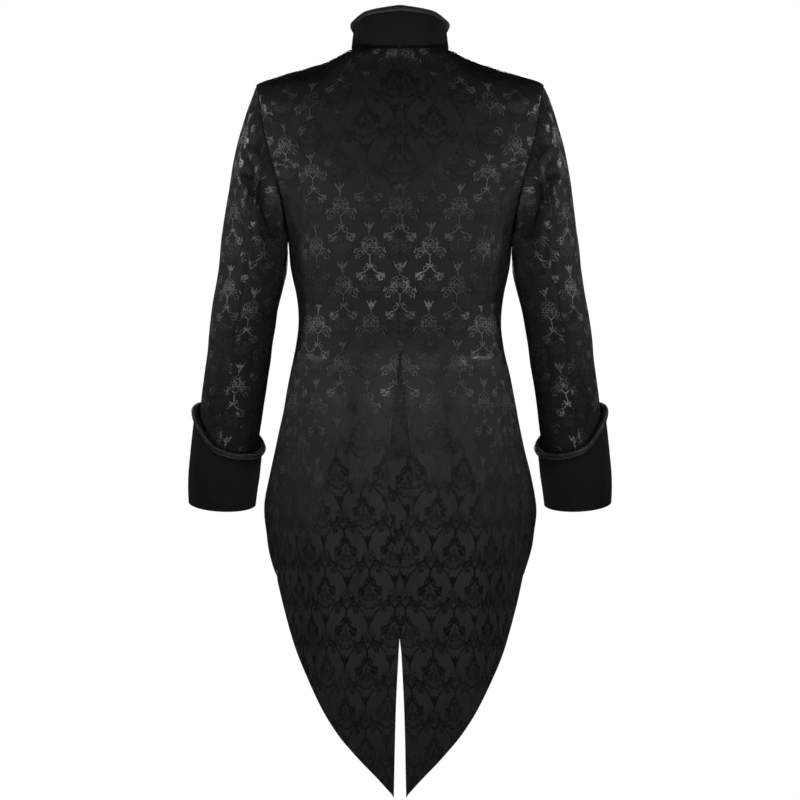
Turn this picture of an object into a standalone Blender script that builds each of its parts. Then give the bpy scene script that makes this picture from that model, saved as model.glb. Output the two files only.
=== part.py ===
"""Tailcoat for slender adults, worn shape, hollow: jacquard body, velvet stand collar and turned cuffs.

Metres, +Z up. The front faces -Y, the wearer's left is +X. The origin is the middle of the
neck hole at the height of the shoulder's neck points. Every piece of cloth is a wall lofted
between two faces, so that neighbouring panels meet in parallel edges along each seam.

A place on the body is a pair: the angle round it, 0 at the centre back, 90 at the side and 180
at the centre front, and the level, which is the height z below the yoke line and runs up over
the shoulder to the neckline and the shoulder seam at level 0.
"""
import math

import bpy
import numpy as np

# ---- driving sizes, metres -------------------------------------------------------------------
CLOTH = 0.0016            # wall of the jacquard
VELVET = 0.0024           # wall of the velvet with its stiffening
BRAID = 0.0026            # thickness of the braid
BRAID_WIDTH = 0.0080      # width of the braid
BRAID_CROWN = 0.0006      # the braid's middle stands out this far
BRAID_OVERHANG = 0.0009   # the braid stands this far above the edge that it covers
SEAM_GAP = 0.0003         # space between two pieces that meet
ROUNDNESS = 0.87          # 1 is an ellipse, less is squarer

YOKE = 0.110              # below this depth the body is plain level sections
WAIST = -0.440            # level where the skirt and the tails begin
NECK_HALF_WIDTH = 0.0740
NECK_BACK = 0.0650
NECK_FRONT = 0.0760
SHOULDER_TIP = 0.2165     # half of the shoulder width
SHOULDER_SEAM_Y = -0.005  # the shoulder seam runs a little to the front
BACK_TIP_ANGLE = 66.0
FRONT_TIP_ANGLE = 126.0
COLLAR_TOP_HALF_WIDTH = 0.0685
COLLAR_TOP_BACK = 0.0600
COLLAR_TOP_FRONT = 0.0690
COLLAR_OPENING = 5.0      # degrees on each side of the centre front
COLLAR_CORNER = 0.22      # the front corners are rounded down by this share of the height
LAP = 0.016               # each front runs this far past the centre front
LAP_LIFT = 0.0021         # the upper front lies this far out over the lower one
SIDE_SEAM_ANGLE = 100.0
BACK_SEAM_ANGLE = 57.6    # the side-back seam from the waist down
SLEEVE_TOP_RING = -0.300  # level where the sleeve is clear of the armhole
CUFF_END = -0.6790
SLEEVE_END = -0.6760
BUTTON_RADIUS = 0.0095
BUTTON_LEVELS = (-0.105, -0.185, -0.265, -0.345, -0.425)

# Level sections of the body: level, half width, back depth, front depth, hollow of the spine.
BODY_SECTIONS = (
    (-0.050, 0.2300, 0.1020, 0.0820, 0.0010),
    (-0.110, 0.2260, 0.1120, 0.0920, 0.0020),
    (-0.165, 0.2135, 0.1200, 0.1050, 0.0030),
    (-0.220, 0.1940, 0.1230, 0.1130, 0.0035),
    (-0.270, 0.1710, 0.1200, 0.1160, 0.0035),
    (-0.327, 0.1638, 0.1110, 0.1120, 0.0040),
    (-0.372, 0.1545, 0.1010, 0.1050, 0.0040),
    (-0.408, 0.1520, 0.0960, 0.1010, 0.0040),
    (-0.440, 0.1555, 0.0960, 0.1020, 0.0035),
    (-0.492, 0.1660, 0.1060, 0.1090, 0.0020),
    (-0.552, 0.1785, 0.1200, 0.1190, 0.0010),
    (-0.612, 0.1915, 0.1300, 0.1290, 0.0000),
    (-0.672, 0.2040, 0.1340, 0.1380, 0.0000),
    (-0.728, 0.2085, 0.1360, 0.1440, 0.0000),
    (-0.800, 0.2100, 0.1380, 0.1480, 0.0000),
    (-1.100, 0.2100, 0.1440, 0.1500, 0.0000),
)
SPINE_REACH = 0.028

# Shoulder seam from the neck point to the tip: distance from the middle, height.
SHOULDER_LINE = (
    (0.0740, 0.0030),
    (0.0880, -0.0050),
    (0.1040, -0.0115),
    (0.1250, -0.0190),
    (0.1730, -0.0336),
    (0.1960, -0.0410),
    (0.2110, -0.0462),
    (0.2165, -0.0492),
    (0.2220, -0.0530),
)
# Neckline and collar: angle round the neck, height of the neckline, height of the collar's top.
NECKLINE = (
    (0.0, 0.0000, 0.0605),
    (45.0, 0.0020, 0.0540),
    (90.0, 0.0030, 0.0440),
    (120.0, -0.0150, 0.0310),
    (150.0, -0.0420, 0.0080),
    (180.0, -0.0580, -0.0100),
)
# Lower edge of the whole skirt: angle, level. The tails are its lowest part.
HEM = (
    (0.0, -1.0960),
    (6.0, -1.0695),
    (13.0, -1.0430),
    (26.0, -0.9890),
    (36.3, -0.9310),
    (45.7, -0.8750),
    (52.7, -0.8180),
    (57.6, -0.7800),
    (66.6, -0.7340),
    (78.0, -0.6930),
    (90.0, -0.6610),
    (100.0, -0.6360),
    (120.0, -0.5890),
    (140.0, -0.5450),
    (150.0, -0.5240),
    (160.0, -0.5030),
    (170.0, -0.4870),
    (180.0, -0.4780),
    (190.0, -0.4760),
)
# The centre-back pleat and the tails: level, half of the opening between the two edges.
BACK_OPENING = (
    (-0.430, 0.0000),
    (-0.445, 0.0003),
    (-0.472, 0.0024),
    (-0.505, 0.0048),
    (-0.545, 0.0092),
    (-0.580, 0.0146),
    (-0.630, 0.0166),
    (-0.672, 0.0158),
    (-0.712, 0.0104),
    (-0.745, 0.0026),
    (-0.800, 0.0003),
    (-0.860, 0.0004),
    (-0.900, 0.0028),
    (-0.960, 0.0058),
    (-1.100, 0.0092),
)
OPENING_REACH = 0.040     # how far the parted edges push the cloth beside them
# The pleat's underlay: level, its inner edge, its outer edge, from the middle, and how far the
# right half runs on under the left one.
UNDERLAY = (
    (-0.446, 0.0006, 0.0180, 0.0040),
    (-0.500, 0.0006, 0.0360, 0.0090),
    (-0.600, 0.0006, 0.0480, 0.0090),
    (-0.720, 0.0006, 0.0500, 0.0090),
    (-0.800, 0.0006, 0.0500, 0.0070),
    (-0.860, 0.0008, 0.0500, 0.0020),
    (-0.900, 0.0036, 0.0480, 0.0000),
    (-0.960, 0.0068, 0.0450, 0.0000),
    (-1.030, 0.0092, 0.0400, 0.0000),
)
UNDERLAY_ROWS = 14
UNDERLAY_DEPTH = 0.0030   # how much deeper it lies in the open pleat

# Back panel, bodice rows: level at the centre back, then the outer edge's angle and level.
# The outer edge is the armhole down to the seventh row and the curved side-back seam below it.
BACK_ROWS = (
    (0.000, 66.0, 0.000),
    (-0.022, 65.3, -0.022),
    (-0.050, 64.3, -0.050),
    (-0.080, 63.2, -0.080),
    (-0.110, 62.4, -0.110),
    (-0.135, 61.8, -0.135),
    (-0.162, 61.7, -0.158),
    (-0.184, 55.5, -0.166),
    (-0.203, 49.5, -0.177),
    (-0.220, 45.5, -0.192),
    (-0.240, 44.6, -0.214),
    (-0.264, 47.0, -0.245),
    (-0.292, 50.3, -0.281),
    (-0.322, 52.6, -0.317),
    (-0.356, 54.2, -0.354),
    (-0.398, 56.2, -0.398),
    (WAIST, BACK_SEAM_ANGLE, WAIST),
)
ARMHOLE_ROWS_BACK = 7
# Columns of the back panel: distance from the middle at the upper edge, angle in the skirt.
BACK_COLUMNS = (
    (0.0000, 0.0),
    (0.0370, 6.5),
    (0.0640, 12.4),
    (NECK_HALF_WIDTH, 17.2),
    (0.1070, 22.0),
    (0.1380, 29.0),
    (0.1650, 37.0),
    (0.1880, 45.0),
    (0.2040, 51.5),
    (SHOULDER_TIP, BACK_SEAM_ANGLE),
)
# Side body, upper edge under the arm: angle, level.
SIDE_TOP = (
    (61.7, -0.158),
    (61.6, -0.186),
    (63.4, -0.214),
    (68.0, -0.240),
    (76.5, -0.262),
    (88.0, -0.272),
    (SIDE_SEAM_ANGLE, -0.270),
)
# Levels of the side seam's points from the armhole to the waist.
SIDE_SEAM_LEVELS = (
    -0.270, -0.276, -0.284, -0.294, -0.307, -0.323,
    -0.342, -0.363, -0.387, -0.413, WAIST,
)
# Front panel, rows of the armhole: angle and level at the armhole, level at the centre front.
FRONT_ROWS = (
    (126.0, 0.000, 0.000),
    (126.5, -0.022, -0.022),
    (127.2, -0.050, -0.050),
    (128.0, -0.080, -0.080),
    (129.0, -0.110, -0.110),
    (130.0, -0.150, -0.148),
    (128.0, -0.195, -0.186),
    (122.0, -0.232, -0.220),
    (112.0, -0.258, -0.250),
    (SIDE_SEAM_ANGLE, -0.270, -0.274),
)
# Levels of the front edge's points, one for each point of the side seam below the armhole.
FRONT_CENTRE_LEVELS = (
    -0.288, -0.301, -0.315, -0.330, -0.346,
    -0.363, -0.381, -0.400, -0.420, WAIST,
)
# Columns of the front panel: distance from the middle at the upper edge, where the back has its
# own points, and the share of the way from the side to the front edge further down.
FRONT_COLUMNS = (
    (SHOULDER_TIP, 0.00),
    (0.2040, 0.12),
    (0.1880, 0.24),
    (0.1650, 0.36),
    (0.1380, 0.48),
    (0.1070, 0.60),
    (NECK_HALF_WIDTH, 0.72),
    (0.0640, 0.85),
    (0.0400, 1.00),
)
# The last columns of the front run straight down: distance from the middle.
FRONT_EDGE_COLUMNS = (0.0400, 0.0185, 0.0000, -LAP)
# How far down the skirt each of its rows lies, as a share of the way from the waist to the hem.
SKIRT_ROWS = (0.08, 0.17, 0.26, 0.35, 0.44, 0.53, 0.62, 0.71, 0.80, 0.88, 0.95, 1.0)

# The largest folds of the body: angle at the top, angle at the bottom, level of the top, level
# of the bottom, half width, height (below 0 is a trough).
BODY_FOLDS = (
    (17.2, 17.2, -0.500, -0.800, 0.013, -0.0060),
    (8.0, 7.5, -0.480, -0.820, 0.016, 0.0040),
    (31.0, 28.0, -0.520, -0.900, 0.024, 0.0035),
    (45.0, 42.0, -0.540, -0.860, 0.020, -0.0040),
    (66.0, 64.0, -0.540, -0.760, 0.022, 0.0035),
    (92.0, 94.0, -0.540, -0.720, 0.022, -0.0040),
    (118.0, 124.0, -0.500, -0.640, 0.022, 0.0035),
)
# Ring angles of the sleeve's columns, one for each point of the armhole, from the shoulder tip
# backwards and round under the arm. 90 is the back of the arm, 180 its inner side.
SLEEVE_ANGLES = (
    0.0, 14.0, 28.0, 42.0, 56.0, 70.0, 84.0,
    103.0, 122.0, 141.0, 160.0, 180.0, 198.0,
    214.0, 230.0, 250.0, 270.0, 290.0, 308.0, 325.0, 342.0,
)
HIND_SEAM_COLUMN = 6
FRONT_SEAM_COLUMN = 14
SEAM_TWIST = -4.0         # the hind seam creeps outwards this far, degrees, on its way to the cuff
CAP_ROWS = 7
CAP_HANDLE = 0.35         # how far the cap runs on in its first direction before it turns down
# The arm's axis: level, distance from the middle, depth, half width, half depth of the sleeve.
ARM = (
    (-0.270, 0.2130, 0.000, 0.0520, 0.0750),
    (-0.300, 0.2186, -0.003, 0.0508, 0.0735),
    (-0.327, 0.2208, -0.006, 0.0512, 0.0715),
    (-0.372, 0.2297, -0.012, 0.0497, 0.0680),
    (-0.417, 0.2384, -0.022, 0.0487, 0.0645),
    (-0.462, 0.2442, -0.032, 0.0483, 0.0615),
    (-0.528, 0.2550, -0.049, 0.0475, 0.0580),
    (-0.605, 0.2650, -0.067, 0.0470, 0.0550),
    (-0.651, 0.2700, -0.077, 0.0478, 0.0535),
    (-0.690, 0.2725, -0.085, 0.0488, 0.0535),
)
SLEEVE_LEVELS = (
    -0.325, -0.350, -0.375, -0.400, -0.430, -0.460, -0.490, -0.520,
    -0.550, -0.580, -0.610, -0.635, -0.656, SLEEVE_END,
)
# The largest folds of the sleeve: ring angle and level of the middle, half length and half width,
# lean in degrees (0 runs round the arm, 90 along it), height (below 0 is a trough).
SLEEVE_FOLDS = (
    (108.0, -0.190, 0.050, 0.012, 28.0, -0.0050),
    (100.0, -0.225, 0.055, 0.013, 34.0, 0.0045),
    (112.0, -0.262, 0.055, 0.014, 42.0, -0.0050),
    (120.0, -0.400, 0.045, 0.013, 12.0, -0.0035),
    (236.0, -0.385, 0.050, 0.013, -16.0, -0.0045),
    (246.0, -0.420, 0.045, 0.013, -12.0, 0.0035),
    (250.0, -0.250, 0.050, 0.013, -32.0, -0.0045),
)
# The cuff: ring angle, level of its upper edge on the arm's axis.
CUFF_TOP = (
    (-25.0, -0.5400),
    (0.0, -0.5410),
    (24.0, -0.5500),
    (45.0, -0.5620),
    (72.0, -0.5810),
    (90.0, -0.5860),
    (130.0, -0.5900),
    (180.0, -0.5880),
    (225.0, -0.5760),
    (270.0, -0.5570),
    (310.0, -0.5430),
    (335.0, -0.5400),
    (360.0, -0.5410),
)
CUFF_HALF_WIDTH = 0.0545
CUFF_HALF_DEPTH = 0.0600
CUFF_END_HALF_WIDTH = 0.0515
CUFF_END_HALF_DEPTH = 0.0562
# Rows of the braid's section: share of its width from the upper edge, share of its crown.
BRAID_PROFILE = ((0.0, 0.0), (0.33, 1.0), (0.67, 1.0), (1.0, 0.0))
CUFF_COLUMNS = 24
CUFF_ROWS = 4

JACQUARD_BLACK = (0.020, 0.020, 0.022)
VELVET_BLACK = (0.008, 0.008, 0.009)
BRAID_BLACK = (0.016, 0.016, 0.018)
BUTTON_BLACK = (0.012, 0.012, 0.013)


# ---- curves and small helpers ----------------------------------------------------------------
def read_curve(rows, position):
    """The columns after the first, read from a table at a position, on a smooth curve."""
    table = np.array(sorted(rows), dtype=float)
    places = table[:, 0]
    values = table[:, 1:]
    position = min(max(position, places[0]), places[-1])
    i = int(np.clip(np.searchsorted(places, position) - 1, 0, len(places) - 2))
    span = places[i + 1] - places[i]
    slopes = np.gradient(values, places, axis=0)
    t = (position - places[i]) / span
    return (
        (2 * t ** 3 - 3 * t ** 2 + 1) * values[i]
        + (t ** 3 - 2 * t ** 2 + t) * span * slopes[i]
        + (-2 * t ** 3 + 3 * t ** 2) * values[i + 1]
        + (t ** 3 - t ** 2) * span * slopes[i + 1]
    )


def ease(value, start, end):
    """0 at start, 1 at end and a soft step between them, whichever of the two is larger."""
    t = min(max((value - start) / (end - start), 0.0), 1.0)
    return t * t * (3 - 2 * t)


def unit(vectors):
    return vectors / np.linalg.norm(vectors, axis=-1, keepdims=True)


def round_power(value):
    """Sine or cosine of a squared-off ring."""
    return math.copysign(abs(value) ** ROUNDNESS, value)


# ---- the body's surface ----------------------------------------------------------------------
def section_point(angle, level):
    """A point on a level section of the body."""
    width, back, front, spine = read_curve(BODY_SECTIONS, level)
    side = round_power(math.sin(math.radians(angle)))
    along = round_power(math.cos(math.radians(angle)))
    x = width * side
    y = (back if along > 0 else front) * along
    if along > 0:
        y -= spine * math.exp(-(x / SPINE_REACH) ** 2)
    return np.array((x, y, level))


def neck_point(ring_angle, raised=0.0):
    """A point on the neckline, or raised 1 on the collar's upper edge."""
    folded = ring_angle if ring_angle <= 180 else 360 - ring_angle
    low, high = read_curve(NECKLINE, folded)
    side = math.sin(math.radians(ring_angle))
    along = math.cos(math.radians(ring_angle))
    half_width = NECK_HALF_WIDTH + (COLLAR_TOP_HALF_WIDTH - NECK_HALF_WIDTH) * raised
    back = NECK_BACK + (COLLAR_TOP_BACK - NECK_BACK) * raised
    front = NECK_FRONT + (COLLAR_TOP_FRONT - NECK_FRONT) * raised
    depth = back if along > 0 else front
    return np.array((half_width * side, depth * along, low + (high - low) * raised))


def top_reach(tip_angle):
    """Half width of the ring that the upper edge lies on, for the back or the front."""
    return SHOULDER_TIP / math.sin(math.radians(tip_angle)) ** ROUNDNESS


def top_angle(x, tip_angle):
    """Angle of the upper edge's point at a distance from the middle."""
    angle = math.degrees(math.asin((abs(x) / top_reach(tip_angle)) ** (1 / ROUNDNESS)))
    if tip_angle < 90:
        return angle
    return 180 - angle if x >= 0 else 180 + angle


def top_edge_point(angle):
    """A point on the neckline or the shoulder seam, where the body ends above."""
    tip_angle = BACK_TIP_ANGLE if angle <= 90 else FRONT_TIP_ANGLE
    x = top_reach(tip_angle) * round_power(math.sin(math.radians(angle)))
    if abs(x) < NECK_HALF_WIDTH:
        ring_angle = math.degrees(math.asin(x / NECK_HALF_WIDTH))
        return neck_point(ring_angle if angle <= 90 else 180 - ring_angle)
    share = (x - NECK_HALF_WIDTH) / (SHOULDER_TIP - NECK_HALF_WIDTH)
    return np.array((x, SHOULDER_SEAM_Y * share, read_curve(SHOULDER_LINE, x)[0]))


def plain_body_point(angle, level):
    """A point on the body without folds."""
    if level <= -YOKE:
        return section_point(angle, level)
    top = top_edge_point(angle)
    low = section_point(angle, -YOKE)
    below = (section_point(angle, -YOKE - 0.01) - low) * YOKE / 0.01
    neck = 1 - ease(abs(top[0]), 0.4 * NECK_HALF_WIDTH, 1.15 * NECK_HALF_WIDTH)
    here, beyond = (read_curve(SHOULDER_LINE, abs(top[0]) + step)[0] for step in (0.0, 0.001))
    slope = (beyond - here) / 0.001
    across, along, _ = low - top
    over_shoulder = np.array((across, along * 1.5, across * slope))
    over_neck = (low - top) * np.array((1.0, 1.3, 0.6))
    start = over_shoulder * (1 - neck) + over_neck * neck
    t = min(-level / YOKE, 1.0)
    return (
        (2 * t ** 3 - 3 * t ** 2 + 1) * top
        + (t ** 3 - 2 * t ** 2 + t) * start
        + (-2 * t ** 3 + 3 * t ** 2) * low
        + (t ** 3 - t ** 2) * below
    )


def body_normal(angle, level):
    """The outward direction of the body's surface."""
    step = 0.4
    drop = 0.002
    round_body = plain_body_point(angle + step, level) - plain_body_point(angle - step, level)
    down = plain_body_point(angle, level - drop) - plain_body_point(angle, min(level + drop, 0.0))
    return unit(np.cross(round_body, down))


def fold_height(angle, level):
    """How far the body's folds lift or sink its surface at a place."""
    half_width = read_curve(BODY_SECTIONS, level)[0]
    height = 0.0
    for top_angle, bottom_angle, top, bottom, spread, lift in BODY_FOLDS:
        share = min(max((top - level) / (top - bottom), 0.0), 1.0)
        middle = top_angle + (bottom_angle - top_angle) * share
        across = math.radians(angle - middle) * half_width / spread
        along = ease(level, top + 0.05, top - 0.08) * ease(level, bottom - 0.10, bottom + 0.02)
        height += lift * along * math.exp(-across ** 2)
    return height


def body_place(angle, level):
    """Point and outward direction at a place on the body."""
    normal = body_normal(angle, level)
    return plain_body_point(angle, level) + normal * fold_height(angle, level), normal


def grid_of(places):
    """Points and directions for rows of (angle, level) pairs."""
    pairs = [[body_place(angle, level) for angle, level in row] for row in places]
    points = np.array([[point for point, _ in row] for row in pairs])
    normals = np.array([[normal for _, normal in row] for row in pairs])
    return points, normals


def skirt_place(angle, share):
    """A place in the skirt, share of the way from the waist to the hem."""
    hem = read_curve(HEM, angle)[0]
    return angle, WAIST + (hem - WAIST) * share


def draw_back(points, normals, edges):
    """Moves the named edges of a panel back by half a seam's gap."""
    moved = points.copy()
    lines = {
        "top": ((0, slice(None)), (1, slice(None))),
        "bottom": ((-1, slice(None)), (-2, slice(None))),
        "left": ((slice(None), 0), (slice(None), 1)),
        "right": ((slice(None), -1), (slice(None), -2)),
    }
    for edge in edges:
        rim, neighbour = lines[edge]
        tangent = np.gradient(points[rim], axis=0)
        inward = unit(np.cross(tangent, normals[rim]))
        facing = np.sum(inward * (points[neighbour] - points[rim]), axis=-1)
        inward *= np.where(facing < 0, -1.0, 1.0)[:, None]
        moved[rim] += inward * SEAM_GAP / 2
    return moved


def mirrored(grid):
    """The same grid on the other side of the body, with its faces still turned out."""
    return grid[:, ::-1] * np.array((-1.0, 1.0, 1.0))


# ---- making objects --------------------------------------------------------------------------
def clear_scene():
    for item in list(bpy.data.objects):
        bpy.data.objects.remove(item, do_unlink=True)


def make_material(name, colour, roughness):
    material = bpy.data.materials.new(name)
    material.use_nodes = True
    shader = material.node_tree.nodes["Principled BSDF"]
    shader.inputs["Base Color"].default_value = (*colour, 1.0)
    shader.inputs["Roughness"].default_value = roughness
    shader.inputs["Metallic"].default_value = 0.0
    return material


def make_object(name, vertices, faces, colour, roughness):
    mesh = bpy.data.meshes.new(name)
    mesh.from_pydata([tuple(vertex) for vertex in vertices], [], faces)
    mesh.materials.append(make_material(name, colour, roughness))
    mesh.shade_smooth()
    item = bpy.data.objects.new(name, mesh)
    parts.objects.link(item)
    return item


def grid_faces(rows, columns, first=0, closed=False):
    """Quads of a grid whose rows run down and whose columns run round the body."""
    faces = []
    for row in range(rows - 1):
        for column in range(columns if closed else columns - 1):
            beside = (column + 1) % columns
            above = first + row * columns
            below = above + columns
            faces.append((above + column, below + column, below + beside, above + beside))
    return faces


def add_wall(name, outer, normals, thickness, colour, roughness):
    """A panel of cloth: an outer grid, the same grid moved in, and rims round all four edges."""
    rows, columns = outer.shape[:2]
    count = rows * columns
    inner = outer - normals * thickness
    vertices = np.concatenate((outer.reshape(-1, 3), inner.reshape(-1, 3)))
    faces = grid_faces(rows, columns)
    faces += [face[::-1] for face in grid_faces(rows, columns, first=count)]
    border = list(range(columns))
    border += [row * columns + columns - 1 for row in range(1, rows)]
    border += [(rows - 1) * columns + column for column in range(columns - 2, -1, -1)]
    border += [row * columns for row in range(rows - 2, 0, -1)]
    for here, after in zip(border, border[1:] + border[:1]):
        faces.append((here, after, after + count, here + count))
    return make_object(name, vertices, faces, colour, roughness)


def add_shell(name, outer, thickness, colour, roughness, closed=False):
    """A lofted open surface that Solidify thickens inwards."""
    rows, columns = outer.shape[:2]
    faces = grid_faces(rows, columns, closed=closed)
    item = make_object(name, outer.reshape(-1, 3), faces, colour, roughness)
    wall = item.modifiers.new("wall", "SOLIDIFY")
    wall.thickness = thickness
    wall.offset = -1.0
    wall.use_quality_normals = True
    return item


# ---- body panels -----------------------------------------------------------------------------
def back_grid():
    """Left back panel with its tail, from the centre-back seam to the side-back seam."""
    rows = []
    for centre_level, edge_angle, edge_level in BACK_ROWS:
        low = ease(centre_level, -0.16, WAIST)
        row = []
        for x, skirt_angle in BACK_COLUMNS:
            high_share = top_angle(x, BACK_TIP_ANGLE) / BACK_TIP_ANGLE
            share = high_share * (1 - low) + skirt_angle / BACK_SEAM_ANGLE * low
            level = centre_level + (edge_level - centre_level) * share
            row.append((edge_angle * share, level))
        rows.append(row)
    for share in SKIRT_ROWS:
        rows.append([skirt_place(skirt_angle, share) for _, skirt_angle in BACK_COLUMNS])
    points, normals = grid_of(rows)
    for point in points.reshape(-1, 3):
        opening = read_curve(BACK_OPENING, point[2])[0]
        point[0] += max(opening, 0.0) * math.exp(-point[0] / OPENING_REACH)
    return points, normals


def side_grid():
    """Left side body: a patch between its four edges down to the waist, then the skirt."""
    left = [(angle, level) for _, angle, level in BACK_ROWS[ARMHOLE_ROWS_BACK - 1:]]
    right = [(SIDE_SEAM_ANGLE, level) for level in SIDE_SEAM_LEVELS]
    columns = len(SIDE_TOP) - 1
    width = SIDE_SEAM_ANGLE - BACK_SEAM_ANGLE
    low = [(BACK_SEAM_ANGLE + width * column / columns, WAIST) for column in range(columns + 1)]
    top, low, left, right = (np.array(edge) for edge in (SIDE_TOP, low, left, right))
    rows = []
    for i in range(len(left)):
        v = i / (len(left) - 1)
        row = []
        for j in range(columns + 1):
            u = j / columns
            between = (1 - v) * top[j] + v * low[j] + (1 - u) * left[i] + u * right[i]
            corners = (
                (1 - u) * (1 - v) * top[0] + u * (1 - v) * top[-1]
                + (1 - u) * v * low[0] + u * v * low[-1]
            )
            row.append(tuple(between - corners))
        rows.append(row)
    for share in SKIRT_ROWS:
        rows.append([skirt_place(angle, share) for angle, _ in low])
    return grid_of(rows)


def front_grid(over):
    """Left front panel from the side seam past the centre front, lifted there where it is on top."""
    edge_rows = [(angle, level, centre) for angle, level, centre in FRONT_ROWS]
    edge_rows += [
        (SIDE_SEAM_ANGLE, level, centre)
        for level, centre in zip(SIDE_SEAM_LEVELS[1:], FRONT_CENTRE_LEVELS)
    ]
    rows = []
    for side_angle, side_level, centre_level in edge_rows:
        low = ease(centre_level, 0.0, -YOKE)
        last_angle = front_angle(FRONT_EDGE_COLUMNS[0], centre_level)
        row = []
        for x, share in FRONT_COLUMNS:
            angle = side_angle + (last_angle - side_angle) * share
            angle = top_angle(x, FRONT_TIP_ANGLE) * (1 - low) + angle * low
            row.append((angle, side_level + (centre_level - side_level) * share))
        for x in FRONT_EDGE_COLUMNS[1:]:
            angle = top_angle(x, FRONT_TIP_ANGLE) * (1 - low) + front_angle(x, centre_level) * low
            row.append((angle, centre_level))
        rows.append(row)
    for down in SKIRT_ROWS:
        last_angle = front_angle(FRONT_EDGE_COLUMNS[0], WAIST)
        row = [
            skirt_place(SIDE_SEAM_ANGLE + (last_angle - SIDE_SEAM_ANGLE) * share, down)
            for _, share in FRONT_COLUMNS
        ]
        row += [skirt_place(front_angle(x, WAIST), down) for x in FRONT_EDGE_COLUMNS[1:]]
        rows.append(row)
    points, normals = grid_of(rows)
    if over:
        for point, normal in zip(points.reshape(-1, 3), normals.reshape(-1, 3)):
            lift = ease(point[0], FRONT_EDGE_COLUMNS[0], FRONT_EDGE_COLUMNS[1])
            point += normal * LAP_LIFT * lift
    return points, normals


def front_angle(x, level):
    """Angle of a line that runs straight down the front at a distance from the middle."""
    width = read_curve(BODY_SECTIONS, min(level, -YOKE))[0]
    angle = math.degrees(math.asin((abs(x) / width) ** (1 / ROUNDNESS)))
    return 180 - angle if x >= 0 else 180 + angle


def underlay_grid(lapped):
    """Half of the pleat's underlay, the back's own surface moved in under its wall."""
    levels = np.linspace(UNDERLAY[0][0], UNDERLAY[-1][0], UNDERLAY_ROWS)
    rows = []
    for level in levels:
        half_width = read_curve(BODY_SECTIONS, level)[0]
        inner, outer, lap = read_curve(UNDERLAY, level)
        if lapped:
            inner -= lap
        row = []
        for share in (0.0, 0.33, 0.67, 1.0):
            x = inner + (outer - inner) * share
            angle = math.degrees(math.asin((abs(x) / half_width) ** (1 / ROUNDNESS)))
            angle = math.copysign(angle, x)
            normal = body_normal(angle, level)
            fold = min(fold_height(angle, level), 0.0)
            depth = UNDERLAY_DEPTH + (CLOTH + 2 * SEAM_GAP) * lapped
            sunk = CLOTH + 2 * SEAM_GAP + depth * (1 - share ** 3)
            row.append(plain_body_point(angle, level) + normal * (fold - sunk))
        rows.append(row)
    return np.array(rows)


# ---- sleeves ---------------------------------------------------------------------------------
def arm_frame(level):
    """Centre, outward, backward and downward directions and half sizes of the arm at a level."""
    x, y, half_width, half_depth = read_curve(ARM, level)
    step = 0.004
    above = read_curve(ARM, level + step)
    below = read_curve(ARM, level - step)
    low = max(level - step, ARM[-1][0])
    high = min(level + step, ARM[0][0])
    down = unit(np.array((below[0] - above[0], below[1] - above[1], low - high)))
    back = unit(np.cross(np.array((1.0, 0.0, 0.0)), down))
    outward = unit(np.cross(down, back))
    return np.array((x, y, level)), outward, back, down, half_width, half_depth


def arm_point(level, ring_angle, half_width=None, half_depth=None):
    """A point round the arm's axis. 0 is the outer side, 90 the back."""
    centre, outward, back, _, sleeve_width, sleeve_depth = arm_frame(level)
    width = half_width or sleeve_width
    depth = half_depth or sleeve_depth
    turn = math.radians(ring_angle)
    return centre + outward * width * math.cos(turn) + back * depth * math.sin(turn)


def sleeve_fold_height(ring_angle, level):
    """How far the sleeve's folds lift or sink it."""
    radius = 0.060
    height = 0.0
    for middle, fold_level, length, spread, lean, lift in SLEEVE_FOLDS:
        round_arm = math.radians((ring_angle - middle + 180) % 360 - 180) * radius
        along_arm = level - fold_level
        turn = math.radians(lean)
        along = round_arm * math.cos(turn) + along_arm * math.sin(turn)
        across = along_arm * math.cos(turn) - round_arm * math.sin(turn)
        height += lift * math.exp(-(along / length) ** 2 - (across / spread) ** 2)
    return height


def armhole_edge(back, side, front):
    """Points and directions round the armhole from the shoulder tip backwards."""
    points = list(back[0][:ARMHOLE_ROWS_BACK, -1]) + list(side[0][0, 1:])
    normals = list(back[1][:ARMHOLE_ROWS_BACK, -1]) + list(side[1][0, 1:])
    climb = range(len(FRONT_ROWS) - 2, 0, -1)
    points += [front[0][row, 0] for row in climb]
    normals += [front[1][row, 0] for row in climb]
    return np.array(points), np.array(normals)


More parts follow.
